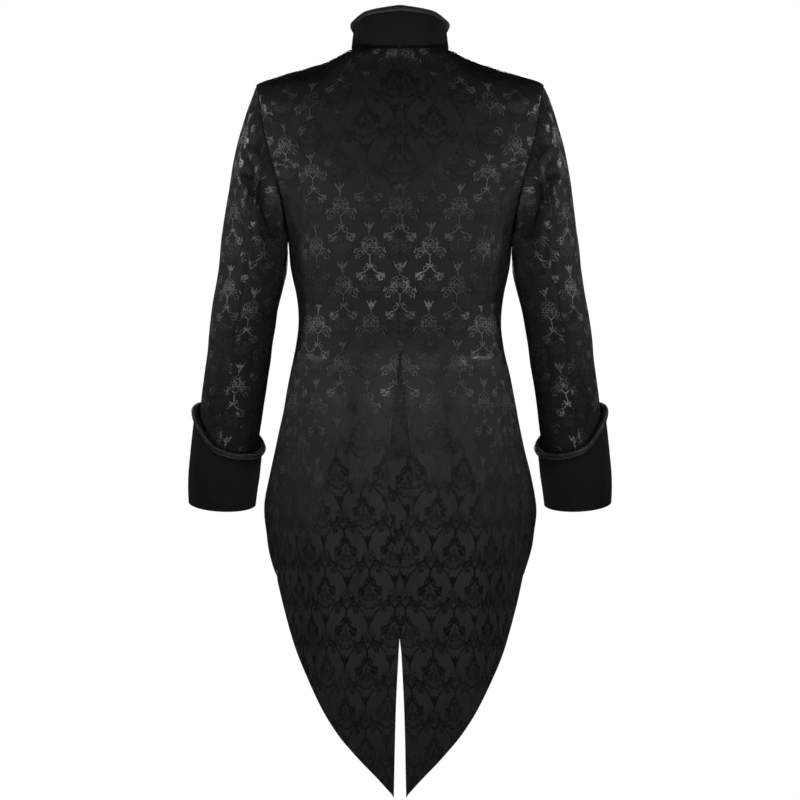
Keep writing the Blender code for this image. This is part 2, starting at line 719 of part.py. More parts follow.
def sleeve_grid(edge_points, edge_normals):
    """The whole sleeve as closed rings: the cap's rows, then the arm's."""
    arrive = arm_frame(SLEEVE_TOP_RING)[3]
    bends = []
    for point, normal, ring_angle in zip(edge_points, edge_normals, SLEEVE_ANGLES):
        high = math.cos(math.radians(ring_angle))
        back = math.sin(math.radians(ring_angle))
        under = ease(-high, 0.2, 0.8)
        tuck = 2 * SEAM_GAP * under - (CLOTH + 1.5 * SEAM_GAP) * ease(high, 0.0, 0.5)
        start = point + normal * tuck
        end = arm_point(SLEEVE_TOP_RING, ring_angle)
        reach = np.linalg.norm(end - start) * CAP_HANDLE
        over_cap = unit(np.array((0.60 + 0.20 * abs(back), 0.25 * back, -1.0 - 0.4 * high)))
        under_arm = np.array((0.05, 0.0, -1.0))
        leave = over_cap * (1 - under) + under_arm * under
        bends.append((start, start + leave * reach, end - arrive * reach, end))
    rows = []
    for row in range(CAP_ROWS + 1):
        t = row / CAP_ROWS
        rows.append([
            (1 - t) ** 3 * start + 3 * (1 - t) ** 2 * t * first
            + 3 * (1 - t) * t ** 2 * second + t ** 3 * end
            for start, first, second, end in bends
        ])
    for level in SLEEVE_LEVELS:
        progress = (level - SLEEVE_TOP_RING) / (SLEEVE_END - SLEEVE_TOP_RING)
        rows.append([arm_point(level, angle + SEAM_TWIST * progress) for angle in SLEEVE_ANGLES])
    points = np.array(rows)
    around = np.roll(points, -1, axis=1) - np.roll(points, 1, axis=1)
    down = np.gradient(points, axis=0)
    normals = unit(np.cross(down, around))
    for row in range(1, len(rows)):
        for column, ring_angle in enumerate(SLEEVE_ANGLES):
            level = points[row, column, 2]
            fade = ease(row, 0, 3)
            points[row, column] += normals[row, column] * sleeve_fold_height(ring_angle, level) * fade
    return points, normals


# ---- the pieces ------------------------------------------------------------------------------
def add_body(back, side, front_over, front_under, underlay):
    """The panels of both sides. The left front lies on top, and the left underlay too."""
    jacquard = (CLOTH, JACQUARD_BLACK, 0.6)
    back_points = draw_back(*back, ("top", "left", "right"))
    side_points = draw_back(*side, ("top", "left", "right"))
    add_wall("back_left", back_points[:, ::-1], back[1][:, ::-1], *jacquard)
    add_wall("back_right", back_points * (-1, 1, 1), back[1] * (-1, 1, 1), *jacquard)
    add_wall("side_body_left", side_points[:, ::-1], side[1][:, ::-1], *jacquard)
    add_wall("side_body_right", side_points * (-1, 1, 1), side[1] * (-1, 1, 1), *jacquard)
    over_points = draw_back(*front_over, ("top", "left"))
    under_points = draw_back(*front_under, ("top", "left"))
    add_wall("front_left", over_points[:, ::-1], front_over[1][:, ::-1], *jacquard)
    add_wall("front_right", under_points * (-1, 1, 1), front_under[1] * (-1, 1, 1), *jacquard)
    add_shell("vent_underlay_left", underlay[0][:, ::-1], *jacquard)
    add_shell("vent_underlay_right", underlay[1] * (-1, 1, 1), *jacquard)


def add_sleeves(points, normals):
    jacquard = (CLOTH, JACQUARD_BLACK, 0.6)
    columns = len(SLEEVE_ANGLES)
    under = list(range(HIND_SEAM_COLUMN, FRONT_SEAM_COLUMN + 1))
    top = [column % columns for column in range(FRONT_SEAM_COLUMN, columns + HIND_SEAM_COLUMN + 1)]
    for name, chosen in (("under_sleeve", under), ("top_sleeve", top)):
        panel = points[:, chosen]
        directions = normals[:, chosen]
        panel = draw_back(panel, directions, ("top", "left", "right"))
        add_wall(name + "_left", panel, directions, *jacquard)
        add_wall(name + "_right", mirrored(panel), mirrored(directions), *jacquard)


def cuff_ring(share_down, lift=0.0, above=0.0):
    """One ring of the cuff, from its shaped upper edge, share 0, to its end, share 1."""
    ring = []
    for column in range(CUFF_COLUMNS):
        ring_angle = 360.0 * column / CUFF_COLUMNS
        top = read_curve(CUFF_TOP, ring_angle)[0]
        level = top + above + (CUFF_END - top) * share_down
        belly = ease(level, CUFF_END, CUFF_END + 0.045)
        half_width = CUFF_END_HALF_WIDTH + (CUFF_HALF_WIDTH - CUFF_END_HALF_WIDTH) * belly + lift
        half_depth = CUFF_END_HALF_DEPTH + (CUFF_HALF_DEPTH - CUFF_END_HALF_DEPTH) * belly + lift
        ring.append(arm_point(level, ring_angle, half_width, half_depth))
    return ring


def add_cuffs():
    velvet = (VELVET, VELVET_BLACK, 0.9)
    braid = (BRAID, BRAID_BLACK, 0.7)
    cuff = np.array([cuff_ring(row / CUFF_ROWS) for row in range(CUFF_ROWS + 1)])
    lift = SEAM_GAP + BRAID
    band = np.array([
        cuff_ring(0.0, lift + BRAID_CROWN * middle, above=BRAID_OVERHANG - BRAID_WIDTH * down)
        for down, middle in BRAID_PROFILE
    ])
    for name, rings, look in (("cuff", cuff, velvet), ("cuff_braid", band, braid)):
        add_shell(name + "_left", rings, *look, closed=True)
        add_shell(name + "_right", mirrored(rings), *look, closed=True)


def collar_angles(columns):
    """Ring angles from one front edge of the collar round the back to the other."""
    return np.linspace(180 - COLLAR_OPENING, -180 + COLLAR_OPENING, columns)


def neck_edge(back, front):
    """The body's own points along the neckline, from the centre back to the front edge."""
    at_neck = [x for x, _ in BACK_COLUMNS].index(NECK_HALF_WIDTH)
    front_neck = [x for x, _ in FRONT_COLUMNS].index(NECK_HALF_WIDTH)
    points = list(back[0][0, :at_neck + 1]) + list(front[0][0, front_neck + 1:])
    angles = []
    for point in points:
        angle = math.degrees(math.atan2(point[0] / NECK_HALF_WIDTH, point[1] / NECK_BACK))
        angles.append(angle + 360 if angle < -90 else angle)
    return np.array(angles), np.array(points)


def collar_point(ring_angle, share_up, edges, lift=0.0):
    """A point on the collar, which stands on the neckline's own edge."""
    folded = abs(ring_angle)
    angles, points = edges[0] if ring_angle >= 0 else edges[1]
    corner = ease(folded, 180 - 5 * COLLAR_OPENING, 180 - COLLAR_OPENING)
    drop = COLLAR_CORNER * corner ** 2
    raised = share_up * (1 - drop)
    low = np.array([np.interp(folded, angles, points[:, axis]) for axis in range(3)])
    high = neck_point(folded, 1.0)
    point = low + (high - low) * raised
    outward = unit(np.array((math.sin(math.radians(folded)), math.cos(math.radians(folded)), 0.0)))
    point = point + outward * lift + np.array((0.0, 0.0, SEAM_GAP * 2))
    return point * np.array((1.0 if ring_angle >= 0 else -1.0, 1.0, 1.0))


def add_collar(edges):
    angles = collar_angles(33)
    shares = (1.0, 0.75, 0.5, 0.25, 0.0)
    rows = [[collar_point(angle, share, edges) for angle in angles] for share in shares]
    add_shell("collar", np.array(rows), VELVET, VELVET_BLACK, 0.9)
    height = NECKLINE[0][2] - NECKLINE[0][1]
    rows = []
    for down, middle in BRAID_PROFILE:
        share = 1.0 + (BRAID_OVERHANG - BRAID_WIDTH * down) / height
        lift = SEAM_GAP + BRAID + BRAID_CROWN * middle
        rows.append([collar_point(angle, share, edges, lift) for angle in collar_angles(41)])
    add_shell("collar_braid", np.array(rows), BRAID, BRAID_BLACK, 0.7)


def add_buttons():
    """Plain domed buttons, turned, with a short shank, on the lapped front."""
    radius = BUTTON_RADIUS
    profile = (
        (0.0, 0.0058),
        (radius * 0.55, 0.0054),
        (radius * 0.88, 0.0042),
        (radius, 0.0030),
        (radius * 0.90, 0.0020),
        (0.0030, 0.0016),
        (0.0026, 0.0003),
        (0.0, 0.0003),
    )
    for number, level in enumerate(BUTTON_LEVELS, start=1):
        point, normal = body_place(180.0, level)
        seat = point + normal * LAP_LIFT
        name = f"button_{number}"
        edges = [(i, i + 1) for i in range(len(profile) - 1)]
        mesh = bpy.data.meshes.new(name)
        mesh.from_pydata([(x, 0.0, z) for x, z in profile], edges, [])
        mesh.materials.append(make_material(name, BUTTON_BLACK, 0.35))
        item = bpy.data.objects.new(name, mesh)
        parts.objects.link(item)
        turn = item.modifiers.new("turn", "SCREW")
        turn.axis = "Z"
        turn.steps = 16
        turn.render_steps = 16
        turn.use_merge_vertices = True
        turn.merge_threshold = 0.00005
        turn.use_smooth_shade = True
        lean = math.atan2(-normal[2], -normal[1])
        item.location = tuple(seat)
        item.rotation_euler = (math.radians(90) + lean, 0.0, 0.0)


def main():
    back = back_grid()
    side = side_grid()
    front_over = front_grid(over=True)
    front_under = front_grid(over=False)
    add_body(back, side, front_over, front_under, (underlay_grid(False), underlay_grid(True)))
    add_sleeves(*sleeve_grid(*armhole_edge(back, side, front_under)))
    add_cuffs()
    add_collar((neck_edge(back, front_over), neck_edge(back, front_under)))
    add_buttons()


clear_scene()
parts = bpy.data.collections.new("tailcoat")
bpy.context.scene.collection.children.link(parts)
main()
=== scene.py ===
"""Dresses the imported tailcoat: jacquard panels with creases and seams, velvet, braid, buttons, studio.

Metres, +Z up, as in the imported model: the front faces -Y and the wearer's left is +X. Every cloth
piece is a thin shell on the outer face of its CAD wall. The wall's rows of points are read from the
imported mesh, a smooth surface is drawn through them, and the creases and seam grooves are laid on it.
Each such piece carries a UV map in metres, across and down the cloth, for its weave.
"""
import math

import bpy
import numpy as np
from bpy.props import FloatProperty, FloatVectorProperty, IntProperty, PointerProperty
from mathutils import Matrix, Vector


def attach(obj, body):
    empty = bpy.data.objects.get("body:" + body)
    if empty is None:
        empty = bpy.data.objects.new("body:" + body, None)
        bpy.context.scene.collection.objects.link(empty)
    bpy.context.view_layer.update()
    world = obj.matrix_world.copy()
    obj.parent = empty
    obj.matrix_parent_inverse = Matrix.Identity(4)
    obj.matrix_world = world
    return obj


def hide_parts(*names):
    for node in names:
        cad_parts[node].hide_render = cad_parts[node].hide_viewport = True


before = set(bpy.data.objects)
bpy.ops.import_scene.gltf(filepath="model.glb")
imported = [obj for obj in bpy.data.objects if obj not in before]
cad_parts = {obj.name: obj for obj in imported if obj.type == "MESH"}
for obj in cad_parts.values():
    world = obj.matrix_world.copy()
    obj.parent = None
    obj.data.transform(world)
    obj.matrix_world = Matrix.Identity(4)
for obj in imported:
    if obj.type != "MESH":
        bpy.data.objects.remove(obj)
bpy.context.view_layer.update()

bl_info = {
    "name": "Tailcoat",
    "version": (1, 0, 0),
    "blender": (4, 5, 0),
    "location": "3D View > Sidebar > Tailcoat",
    "description": "Builds the cloth, trim and studio of a jacquard tailcoat around its solids",
    "category": "Object",
}

# ---- the walls to dress ----
# A line that each piece goes round, for telling its outer face: two points.
BODY_AXIS = ((0.0, 0.0, 0.0), (0.0, 0.0, -1.0))
ARM_AXIS = ((0.1950, -0.0100, -0.1500), (0.2725, -0.0850, -0.6900))

# Panels: node, rows and columns of its wall, the edge that its pattern is measured from, its seams,
# and how far the pattern is shifted across and down, metres. None is the shaped centre seam. Edges
# are named as seen from outside on the wearer's left. On the right, left and right change places.
PANELS = (
    ("back", 29, 10, "right", ("left", "right", "top"), None, 0.0880),
    ("side_body", 23, 7, "middle", ("left", "right", "top"), 0.0100, 0.0300),
    ("front", 32, 12, "left", ("right", "top"), 0.0330, 0.0),
)
# Sleeve pieces: node, rows and columns, and the pattern's shift from the middle and down.
SLEEVES = (
    ("top_sleeve", 22, 14, 0.0, 0.0280),
    ("under_sleeve", 22, 9, 0.0180, 0.0500),
)
# Rows and columns of the other walls.
UNDERLAY_SIZE = (14, 4)
COLLAR_SIZE = (5, 33)
COLLAR_BRAID_SIZE = (4, 41)
CUFF_SIZE = (5, 24)
CUFF_BRAID_SIZE = (4, 24)
UNDERLAY_SHIFT = 0.02  # the underlay's pattern, across
BEND = 0.40  # cosine of the sharpest bend inside an outer face
ASIDE = 0.008  # how far a ring's next point may lie beside the last, metres
# How far the pattern's middle line runs from the shaped centre seam: depth, distance.
SEAM_SHAPE = (
    (0.000, 0.0510), (0.190, 0.0485), (0.260, 0.0454), (0.380, 0.0423), (0.600, 0.0450),
    (0.830, 0.0508), (0.950, 0.0567), (1.100, 0.0600),
)
# Depth at which the cloth's measure downwards agrees with the height.
MEASURE_LEVEL = 0.3500
# Cut sizes, metres and square metres: width, length, area of the flat piece.
CUTS = {
    "back": (0.225, 1.105, 0.178),
    "side_body": (0.120, 0.625, 0.050),
    "front": (0.265, 0.650, 0.113),
    "vent_underlay": (0.060, 0.585, 0.030),
    "top_sleeve": (0.255, 0.640, 0.127),
    "under_sleeve": (0.160, 0.535, 0.067),
    "cuff": (0.365, 0.140, 0.041),
    "collar": (0.450, 0.065, 0.022),
}

# ---- creases ----
# Creases seen from behind or from the front, on the wearer's left: the x and z of the two ends,
# the bow of the line between them, half width, height and lean. A crease with no lean is a plain
# ridge, or a trough below 0. With lean 1 a ridge stands beside a trough.
BODY_CREASES = {
    "behind": (
        (0.0500, -0.520, 0.0540, -0.760, 0.000, 0.0110, -0.0030, 0.0),
        (0.0780, -0.560, 0.0900, -0.820, 0.004, 0.0150, -0.0018, 0.0),
        (0.1180, -0.540, 0.1420, -0.740, 0.006, 0.0140, -0.0026, 0.0),
        (0.0180, -0.640, 0.0220, -0.840, 0.003, 0.0090, 0.0016, 0.0),
        (0.1440, -0.372, 0.0900, -0.398, 0.004, 0.0060, -0.0012, 0.6),
        (0.1460, -0.412, 0.1060, -0.430, 0.004, 0.0055, -0.0010, 0.6),
        (0.1410, -0.452, 0.0800, -0.462, 0.003, 0.0060, -0.0009, 0.6),
        (0.1500, -0.170, 0.1200, -0.330, -0.006, 0.0120, -0.0016, 0.0),
        (0.0200, -0.120, 0.0300, -0.300, 0.004, 0.0200, -0.0010, 0.0),
        (0.1740, -0.100, 0.1380, -0.150, 0.004, 0.0090, -0.0012, 0.4),
        (0.0700, -0.860, 0.0560, -1.000, 0.004, 0.0140, -0.0014, 0.0),
    ),
    "front": (
        (0.1500, -0.180, 0.1000, -0.230, 0.006, 0.0080, -0.0016, 0.5),
        (0.1460, -0.360, 0.0800, -0.384, 0.004, 0.0060, -0.0013, 0.6),
        (0.1400, -0.410, 0.0600, -0.424, 0.003, 0.0055, -0.0012, 0.6),
        (0.0140, -0.345, 0.0560, -0.352, 0.001, 0.0050, -0.0010, 0.5),
        (0.0140, -0.425, 0.0480, -0.436, 0.001, 0.0050, -0.0010, 0.5),
        (0.1300, -0.470, 0.1500, -0.600, 0.004, 0.0140, -0.0018, 0.0),
    ),
}
SLEEVE_CREASES = {
    "behind": (
        (0.2440, -0.156, 0.2020, -0.184, 0.004, 0.0058, -0.0050, 0.9),
        (0.2480, -0.186, 0.2060, -0.262, 0.010, 0.0110, 0.0090, 0.0),
        (0.2300, -0.172, 0.1860, -0.292, 0.012, 0.0160, -0.0140, 0.0),
        (0.1700, -0.255, 0.1770, -0.352, 0.000, 0.0150, 0.0044, 0.0),
        (0.2440, -0.246, 0.2120, -0.312, 0.008, 0.0072, -0.0062, 0.9),
        (0.2300, -0.300, 0.1960, -0.352, -0.006, 0.0070, 0.0040, 0.7),
        (0.2560, -0.318, 0.2260, -0.350, 0.005, 0.0055, -0.0026, 0.8),
        (0.2220, -0.445, 0.2440, -0.505, 0.004, 0.0055, 0.0026, 0.8),
        (0.2700, -0.400, 0.2420, -0.424, 0.004, 0.0060, -0.0018, 0.7),
        (0.2740, -0.520, 0.2480, -0.556, 0.004, 0.0060, -0.0016, 0.6),
        (0.2300, -0.560, 0.2460, -0.580, 0.003, 0.0050, -0.0014, 0.6),
    ),
    "front": (
        (0.2320, -0.150, 0.1980, -0.196, 0.006, 0.0070, -0.0036, 0.8),
        (0.2360, -0.215, 0.1980, -0.262, 0.006, 0.0070, -0.0034, 0.8),
        (0.2640, -0.360, 0.2060, -0.384, 0.007, 0.0065, -0.0038, 0.9),
        (0.2660, -0.392, 0.2100, -0.410, 0.006, 0.0060, -0.0034, 0.9),
        (0.2680, -0.428, 0.2180, -0.452, 0.006, 0.0060, -0.0026, 0.8),
        (0.2820, -0.500, 0.2400, -0.528, 0.005, 0.0060, -0.0018, 0.7),
    ),
}
# Waves of the resting cloth: wavelength in metres, direction, height.
CLOTH_WAVES = (
    (0.150, (0.8, 0.3, 0.5), 0.00050),
    (0.096, (-0.4, 0.6, 0.7), 0.00034),
    (0.071, (0.9, -0.2, 0.4), 0.00022),
    (0.048, (0.3, 0.8, -0.5), 0.00013),
    (0.037, (-0.7, 0.3, 0.6), 0.00009),
)
WAVE_SHIFT = 1.7  # radians between two waves' starts
SIDE_SHIFT = 0.9  # half the radians between the waves of the left and the right
CREASE_POINTS = 9  # points of the line that a crease follows
CREASE_REACH = 0.012  # how far a point of that line may lie from the cloth
CREASE_START = (-0.02, 0.30)  # shares of a crease's line between which it rises
CREASE_END = (1.02, 0.62)  # shares of its line between which it falls
CREASE_TIP = 0.45  # share of a crease's width that it has all along: the rest swells in its middle
CREASE_SWELL = (0.02, 0.98)  # shares of its line between which that width changes
SAME_POINT = 1e-10  # squared distance below which two points of that line are one
TROUGH_AWAY = 1.3  # distance between a leaning crease's ridge and trough, in half widths
TROUGH_DEPTH = 0.8  # depth of that trough as a share of the ridge's height
FACING = 0.05  # least share of a normal that faces the side from which a crease is seen
SEAM_FADE = (-0.001, 0.012)  # distances from a seam between which creases begin
SLEEVE_HEAD_FADE = 0.02  # length below the sleeve's head over which creases begin
PUCKER_REACH = 0.009  # distance from a seam at which puckers fade
PUCKER_START = 0.0025  # distance from a seam over which puckers begin
# The puckers' unevenness along a seam, as two waves: share, radians per metre.
PUCKER_WANDER = ((0.35, 41.0), (0.25, 97.0))
PUCKER_SHIFT = 5.0  # radians by which that unevenness moves a pucker
PUCKER_CHANGE = 23.0  # radians per metre of the change in the puckers' height

# ---- the woven figure ----
# A half-drop net of our own drawing: a bud on a stem, curled and leafy arms, a scalloped rose.
# Millimetres from the motif's middle line and down its repeat, mirrored in the middle line.
REPEAT_WIDTH = 84.0
REPEAT_HEIGHT = 116.0
# Strokes: from x, from down, to x, to down, half width at the start, half width at the end.
FIGURE_STROKES = (
    (0.0, 17.0, 0.0, 7.0, 0.7, 3.4),
    (0.0, 7.0, 0.0, 1.0, 2.2, 0.5),
    (2.6, 8.0, 7.6, 0.4, 2.2, 0.4),
    (0.0, 16.0, 0.0, 22.0, 0.8, 0.5),
    (0.0, 50.0, 7.4, 41.8, 0.85, 0.75),
    (7.4, 41.8, 12.4, 35.0, 0.8, 0.4),
    (8.6, 38.0, 9.8, 32.6, 0.5, 1.4),
    (20.2, 50.0, 21.4, 53.8, 0.7, 1.5),
    (12.6, 50.4, 15.6, 53.0, 0.4, 1.2),
    (0.0, 49.0, 0.0, 66.0, 0.85, 0.90),
    (1.0, 66.5, 4.8, 62.0, 1.1, 0.9),
    (0.6, 66.5, 6.6, 73.2, 0.95, 0.8),
    (6.6, 73.2, 13.6, 76.0, 0.8, 1.1),
    (9.0, 79.4, 12.6, 81.6, 1.0, 2.1),
    (15.4, 76.6, 21.8, 80.6, 1.5, 2.6),
    (17.6, 85.0, 13.6, 85.4, 0.8, 1.6),
    (22.0, 84.4, 25.6, 87.2, 0.6, 1.3),
    (21.0, 96.0, 19.0, 103.0, 0.6, 1.3),
)
# Arcs: centre x, centre down, radius, half width, from and to in degrees (0 is out, 90 is down).
FIGURE_ARCS = (
    (13.4, 46.6, 8.2, 0.75, -112.0, 24.0),
    (13.8, 47.4, 4.2, 0.45, -175.0, 40.0),
    (6.0, 68.8, 3.2, 0.40, -150.0, 60.0),
)
# The rose's strokes and arcs, which show faintly.
ROSE_STROKES = (
    (0.0, 75.0, 0.0, 81.0, 0.4, 0.7),
    (2.4, 84.0, 6.4, 88.0, 0.5, 1.0),
    (8.2, 114.5, 17.6, 107.0, 0.3, 0.6),
)
ROSE_ARCS = (
    (2.6, 91.0, 3.2, 0.50, -130.0, 110.0),
    (7.4, 88.6, 4.6, 0.45, -60.0, 150.0),
    (4.4, 101.6, 4.6, 0.55, -30.0, 150.0),
    (11.8, 97.8, 4.2, 0.55, -60.0, 130.0),
    (17.4, 91.2, 3.8, 0.50, -90.0, 110.0),
)
# Filigree fills ellipses: centre x, centre down, half width, half height, strength.
FILIGREE = (
    (0.0, 32.0, 14.0, 11.0, 1.0),
    (17.5, 80.5, 12.5, 6.5, 0.9),
    (11.0, 44.0, 8.0, 6.0, 0.7),
    (0.0, 93.0, 15.0, 11.0, 0.45),
    (21.0, 51.0, 6.0, 5.5, 0.6),
)
FILIGREE_CELL = 4.4  # millimetres across a cell of its net
FILIGREE_LINE = (0.21, 0.08)  # distances from a cell's edge, in cells, between which its line begins
FILIGREE_EDGE = (1.1, 0.8)  # shares of an ellipse's size between which its filigree begins
ROSE_STRENGTH = 0.42
# Strengths of the painted shade beside the figure's and the rose's woven lines: a darker band of colour
# that stands in for shade.
FIGURE_DARKNESS = 0.80
ROSE_DARKNESS = 0.64
EDGE = 0.40  # millimetres on either side of a woven line's edge over which it fades
BOLDNESS = 0.22  # millimetres added to the half width of every woven line
DARK_EDGE = 1.5  # millimetres over which painted shade darkens the cloth beside a woven line
FAR = 9.0  # a distance in millimetres at which a line has no effect
WOBBLE = 1.6  # millimetres by which the weave wanders to either side
WOBBLE_SCALE = 95.0  # scale of the noise that it follows, per metre
WEAR_SCALE = 260.0  # scale of the noise that wears the figure, per metre
WEAR = (0.34, 0.54, 0.50, 1.0)  # noise from and to, share of the figure that is left from and to

# ---- edges, trim and studio ----
# Distances from a cut edge at which its cloth has extra rows of points.
EDGE_ROWS = (0.0009, 0.0020, 0.0033)
# Width of a mesh cell of the velvet, and of the braid across and along its cords.
VELVET_CELL = 0.004
CORD_CELL = 0.0007
CORD_CELL_ALONG = 0.0011
CORD_ROUNDNESS = 0.75  # power of a cord's round section: the smaller, the flatter its top
CORD_SINK = 0.35  # share of a cord's height that lies below the band's face
TWIST_DEPTH = 0.16  # half the share of a cord's height by which its strands stand out
BEADED = 0.30  # share of the band's width over which the beads fade
COLLAR_CORNER = (0.050, 0.070)  # distances from the middle between which the collar's corner falls
# Roughness and distance between two strands of the braid's and the buttonholes' thread.
BRAID_THREAD = (0.42, 0.0032)
HOLE_TWIST = (0.5, 0.0022)
STRANDS = 0.62  # the wave texture's scale for one slanting strand a metre
CLOTH_BEND = 50.0  # degrees past which an edge of the cloth looks sharp
BUTTON_BEND = 40.0  # and one of a button
BUTTON_NUMBERS = range(1, 6)
# Rings of a button from its seat outwards: height and radius as shares of the button's own.
BUTTON_RINGS = (
    (0.0, 0.30), (0.18, 0.30), (0.20, 0.82), (0.30, 0.95), (0.44, 1.00), (0.55, 0.985),
    (0.62, 0.93), (0.63, 0.88), (0.60, 0.84), (0.66, 0.78), (0.82, 0.60), (0.94, 0.36),
    (0.99, 0.14),
)
HOLE_THREAD = 0.0009  # half width of the thread round a buttonhole
HOLE_NARROWNESS = 0.13  # a buttonhole's width as a share of its length
HOLE_FLATNESS = 0.55  # its height as a share of its thread's
HOLE_LIFT = 0.0001  # how far it lies above the button's seat
HOLE_SHIFT = (0.006, 0.0, 0.0)  # from the button's seat towards the wearer's left
HOLE_SIDES = 72  # sides round a buttonhole
THREAD_SIDES = 8  # and round its thread
STITCH = 0.0011  # distance between two stitches of a buttonhole
STITCH_DEPTH = 0.00022
CHEST_CURVE = 1.9  # how a buttonhole bends back with the chest, per metre
FLOOR_RADIUS = 2.2
FLOOR_SIDES = 96
SENSOR = 36.0  # millimetres
VIEW_END = 60.0  # distance from the camera past which nothing shows
# Soft lights, each named like its power's setting: place, target, width, height and spread in
# degrees. The first stand on the middle line, the others on the wearer's left and the right.
MIDDLE_LIGHTS = (
    ("above", (0.0, 0.60, 3.20), (0.0, 0.0, -0.40), 1.6, 1.0, 70.0),
    ("tails", (0.0, 1.70, 1.20), (0.0, 0.0, -0.92), 0.5, 0.25, 17.0),
    ("below", (0.0, 0.95, -1.40), (0.0, 0.0, -0.25), 1.4, 0.4, 80.0),
    ("yoke", (0.0, 1.75, -1.38), (0.0, 0.08, -0.07), 1.2, 0.2, 14.0),
    ("low", (0.0, 1.65, -0.88), (0.0, 0.0, -0.30), 1.3, 0.42, 24.0),
    ("front", (0.0, -2.60, 0.20), (0.0, 0.0, -0.40), 0.8, 1.2, 70.0),
)
SIDE_LIGHTS = (
    ("behind", (1.10, 0.95, -0.24), (0.0, 0.0, -0.27), 1.1, 0.40, 24.0),
    ("sleeve", (1.90, 0.30, 0.70), (0.26, 0.0, -0.30), 0.5, 0.3, 16.0),
    ("side", (1.90, 0.15, -0.25), (0.25, 0.0, -0.28), 0.4, 0.5, 26.0),
    ("corner", (1.60, -1.30, 0.50), (0.0, 0.0, -0.30), 1.0, 0.9, 180.0),
)


# ---- settings ----
def metres(name, description, default):
    """A length in metres."""
    return FloatProperty(name=name, description=description, default=default, unit="LENGTH")


def rgb(name, description, default):
    """A colour: red, green and blue."""
    return FloatVectorProperty(
        name=name, description=description, default=default, subtype="COLOR", size=3)


def watts(name, description, default):
    """The power of a soft light in watts."""
    return FloatProperty(
        name=name, description=f"Power of {description}, watts", default=default)


class TailcoatCloth(bpy.types.PropertyGroup):
    """Sizes of the cloth, its creases and its seams."""
    wall: metres("Cloth", "Thickness of the jacquard", 0.0012)
    velvet_wall: metres("Velvet", "Thickness of the velvet", 0.0020)
    cell: metres("Cell", "Width of a mesh cell of the cloth", 0.0046)
    groove: metres("Seam groove", "How deep a seam sinks", 0.0009)
    groove_width: metres("Groove width", "Half width of the sunk seam", 0.0022)
    pucker: metres("Pucker", "Height of the puckers at a seam", 0.00028)
    pucker_length: metres("Pucker spacing", "Usual distance between puckers", 0.013)
    creases: FloatProperty(
        name="Creases", description="Scale of the creases' height", default=1.0, subtype="FACTOR")
    reach: metres("Reach", "How far an edge reaches past its wall", 0.0006)
    turning: metres("Turning", "How far an edge is turned in", 0.0022)


class TailcoatTrim(bpy.types.PropertyGroup):
    """Sizes of the braid, the buttons and their holes."""
    braid_wall: metres("Braid", "Thickness of the braid", 0.0042)
    cord_height: metres("Cord", "Height of the braid's two cords", 0.0011)
    bead: metres("Bead", "How far a small bead rises from the edge", 0.0005)
    bead_length: metres("Bead spacing", "Distance between two beads", 0.0044)
    under: metres("Under", "How far the velvet reaches under its neighbour", 0.0014)
    round_off: metres("Rounding", "How far the collar falls beside the neck", 0.0040)
    button_sides: IntProperty(
        name="Button sides", description="Sides of a button's rim", default=48)
    hole_length: metres("Buttonhole", "Length of a buttonhole", 0.024)


class TailcoatColours(bpy.types.PropertyGroup):
    """Colours of the cloth and trim."""
    ground: rgb("Ground", "Matt ground of the jacquard", (0.0330, 0.0330, 0.0330))
    figure: rgb("Figure", "Satin figure of the jacquard", (0.0012, 0.0012, 0.0012))
    velvet: rgb("Velvet", "Pile of the velvet", (0.0220, 0.0220, 0.0220))
    braid: rgb("Braid", "Thread of the braid", (0.090, 0.090, 0.090))
    button: rgb("Button", "Colour of the buttons", (0.012, 0.012, 0.013))


class TailcoatStudio(bpy.types.PropertyGroup):
    """Camera, floor and light."""
    distance: metres("Distance", "From the coat to the camera", 4.2)
    height: metres("Height", "Height of the camera", -0.522)
    frame_size: metres("Frame", "Width of the picture at the coat", 1.2)
    floor: metres("Floor", "Height of the floor", -1.45)
    above: watts("Top light", "the light above", 1.15)
    tails: watts("Tail light", "the light on the tails", 0.56)
    below: watts("Floor light", "the light near the floor", 0.74)
    yoke: watts("Collar light", "the low light on the collar", 0.46)
    low: watts("Low light", "the low light behind the coat", 0.175)
    front: watts("Front light", "the light before the coat", 12.0)
    behind: watts("Back light", "each light behind the coat", 0.09)
    sleeve: watts("Sleeve light", "each light on a sleeve", 0.27)
    side: watts("Side light", "each light beside the coat", 0.085)
    corner: watts("Corner light", "each light at the front corners", 2.1)
    room: FloatProperty(
        name="Room", description="Brightness of the room", default=0.0075, subtype="FACTOR")


class TailcoatSettings(bpy.types.PropertyGroup):
    """All settings of the tailcoat."""
    cloth: PointerProperty(type=TailcoatCloth)
    trim: PointerProperty(type=TailcoatTrim)
    colours: PointerProperty(type=TailcoatColours)
    studio: PointerProperty(type=TailcoatStudio)


def settings():
    return bpy.context.scene.tailcoat


# ---- reading a wall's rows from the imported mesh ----
def wall_mesh(name):
    """Merged points and triangles of a CAD node."""
    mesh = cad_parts[name].data
    places = np.empty(len(mesh.vertices) * 3)
    mesh.vertices.foreach_get("co", places)
    corners = np.empty(len(mesh.polygons) * 3, dtype=int)
    mesh.polygons.foreach_get("vertices", corners)
    rounded = np.round(places.reshape(-1, 3), 6)
    points, where = np.unique(rounded, axis=0, return_inverse=True)
    return points, where.reshape(-1)[corners].reshape(-1, 3)


def patches(joined):
    """Groups of triangles that hang together, from the list of those that each one is joined to."""
    seen = set()
    for start in range(len(joined)):
        if start in seen:
            continue
        patch, ahead = [], [start]
        seen.add(start)
        while ahead:
            here = ahead.pop()
            patch.append(here)
            fresh = [other for other in joined[here] if other not in seen]
            seen.update(fresh)
            ahead += fresh
        yield patch


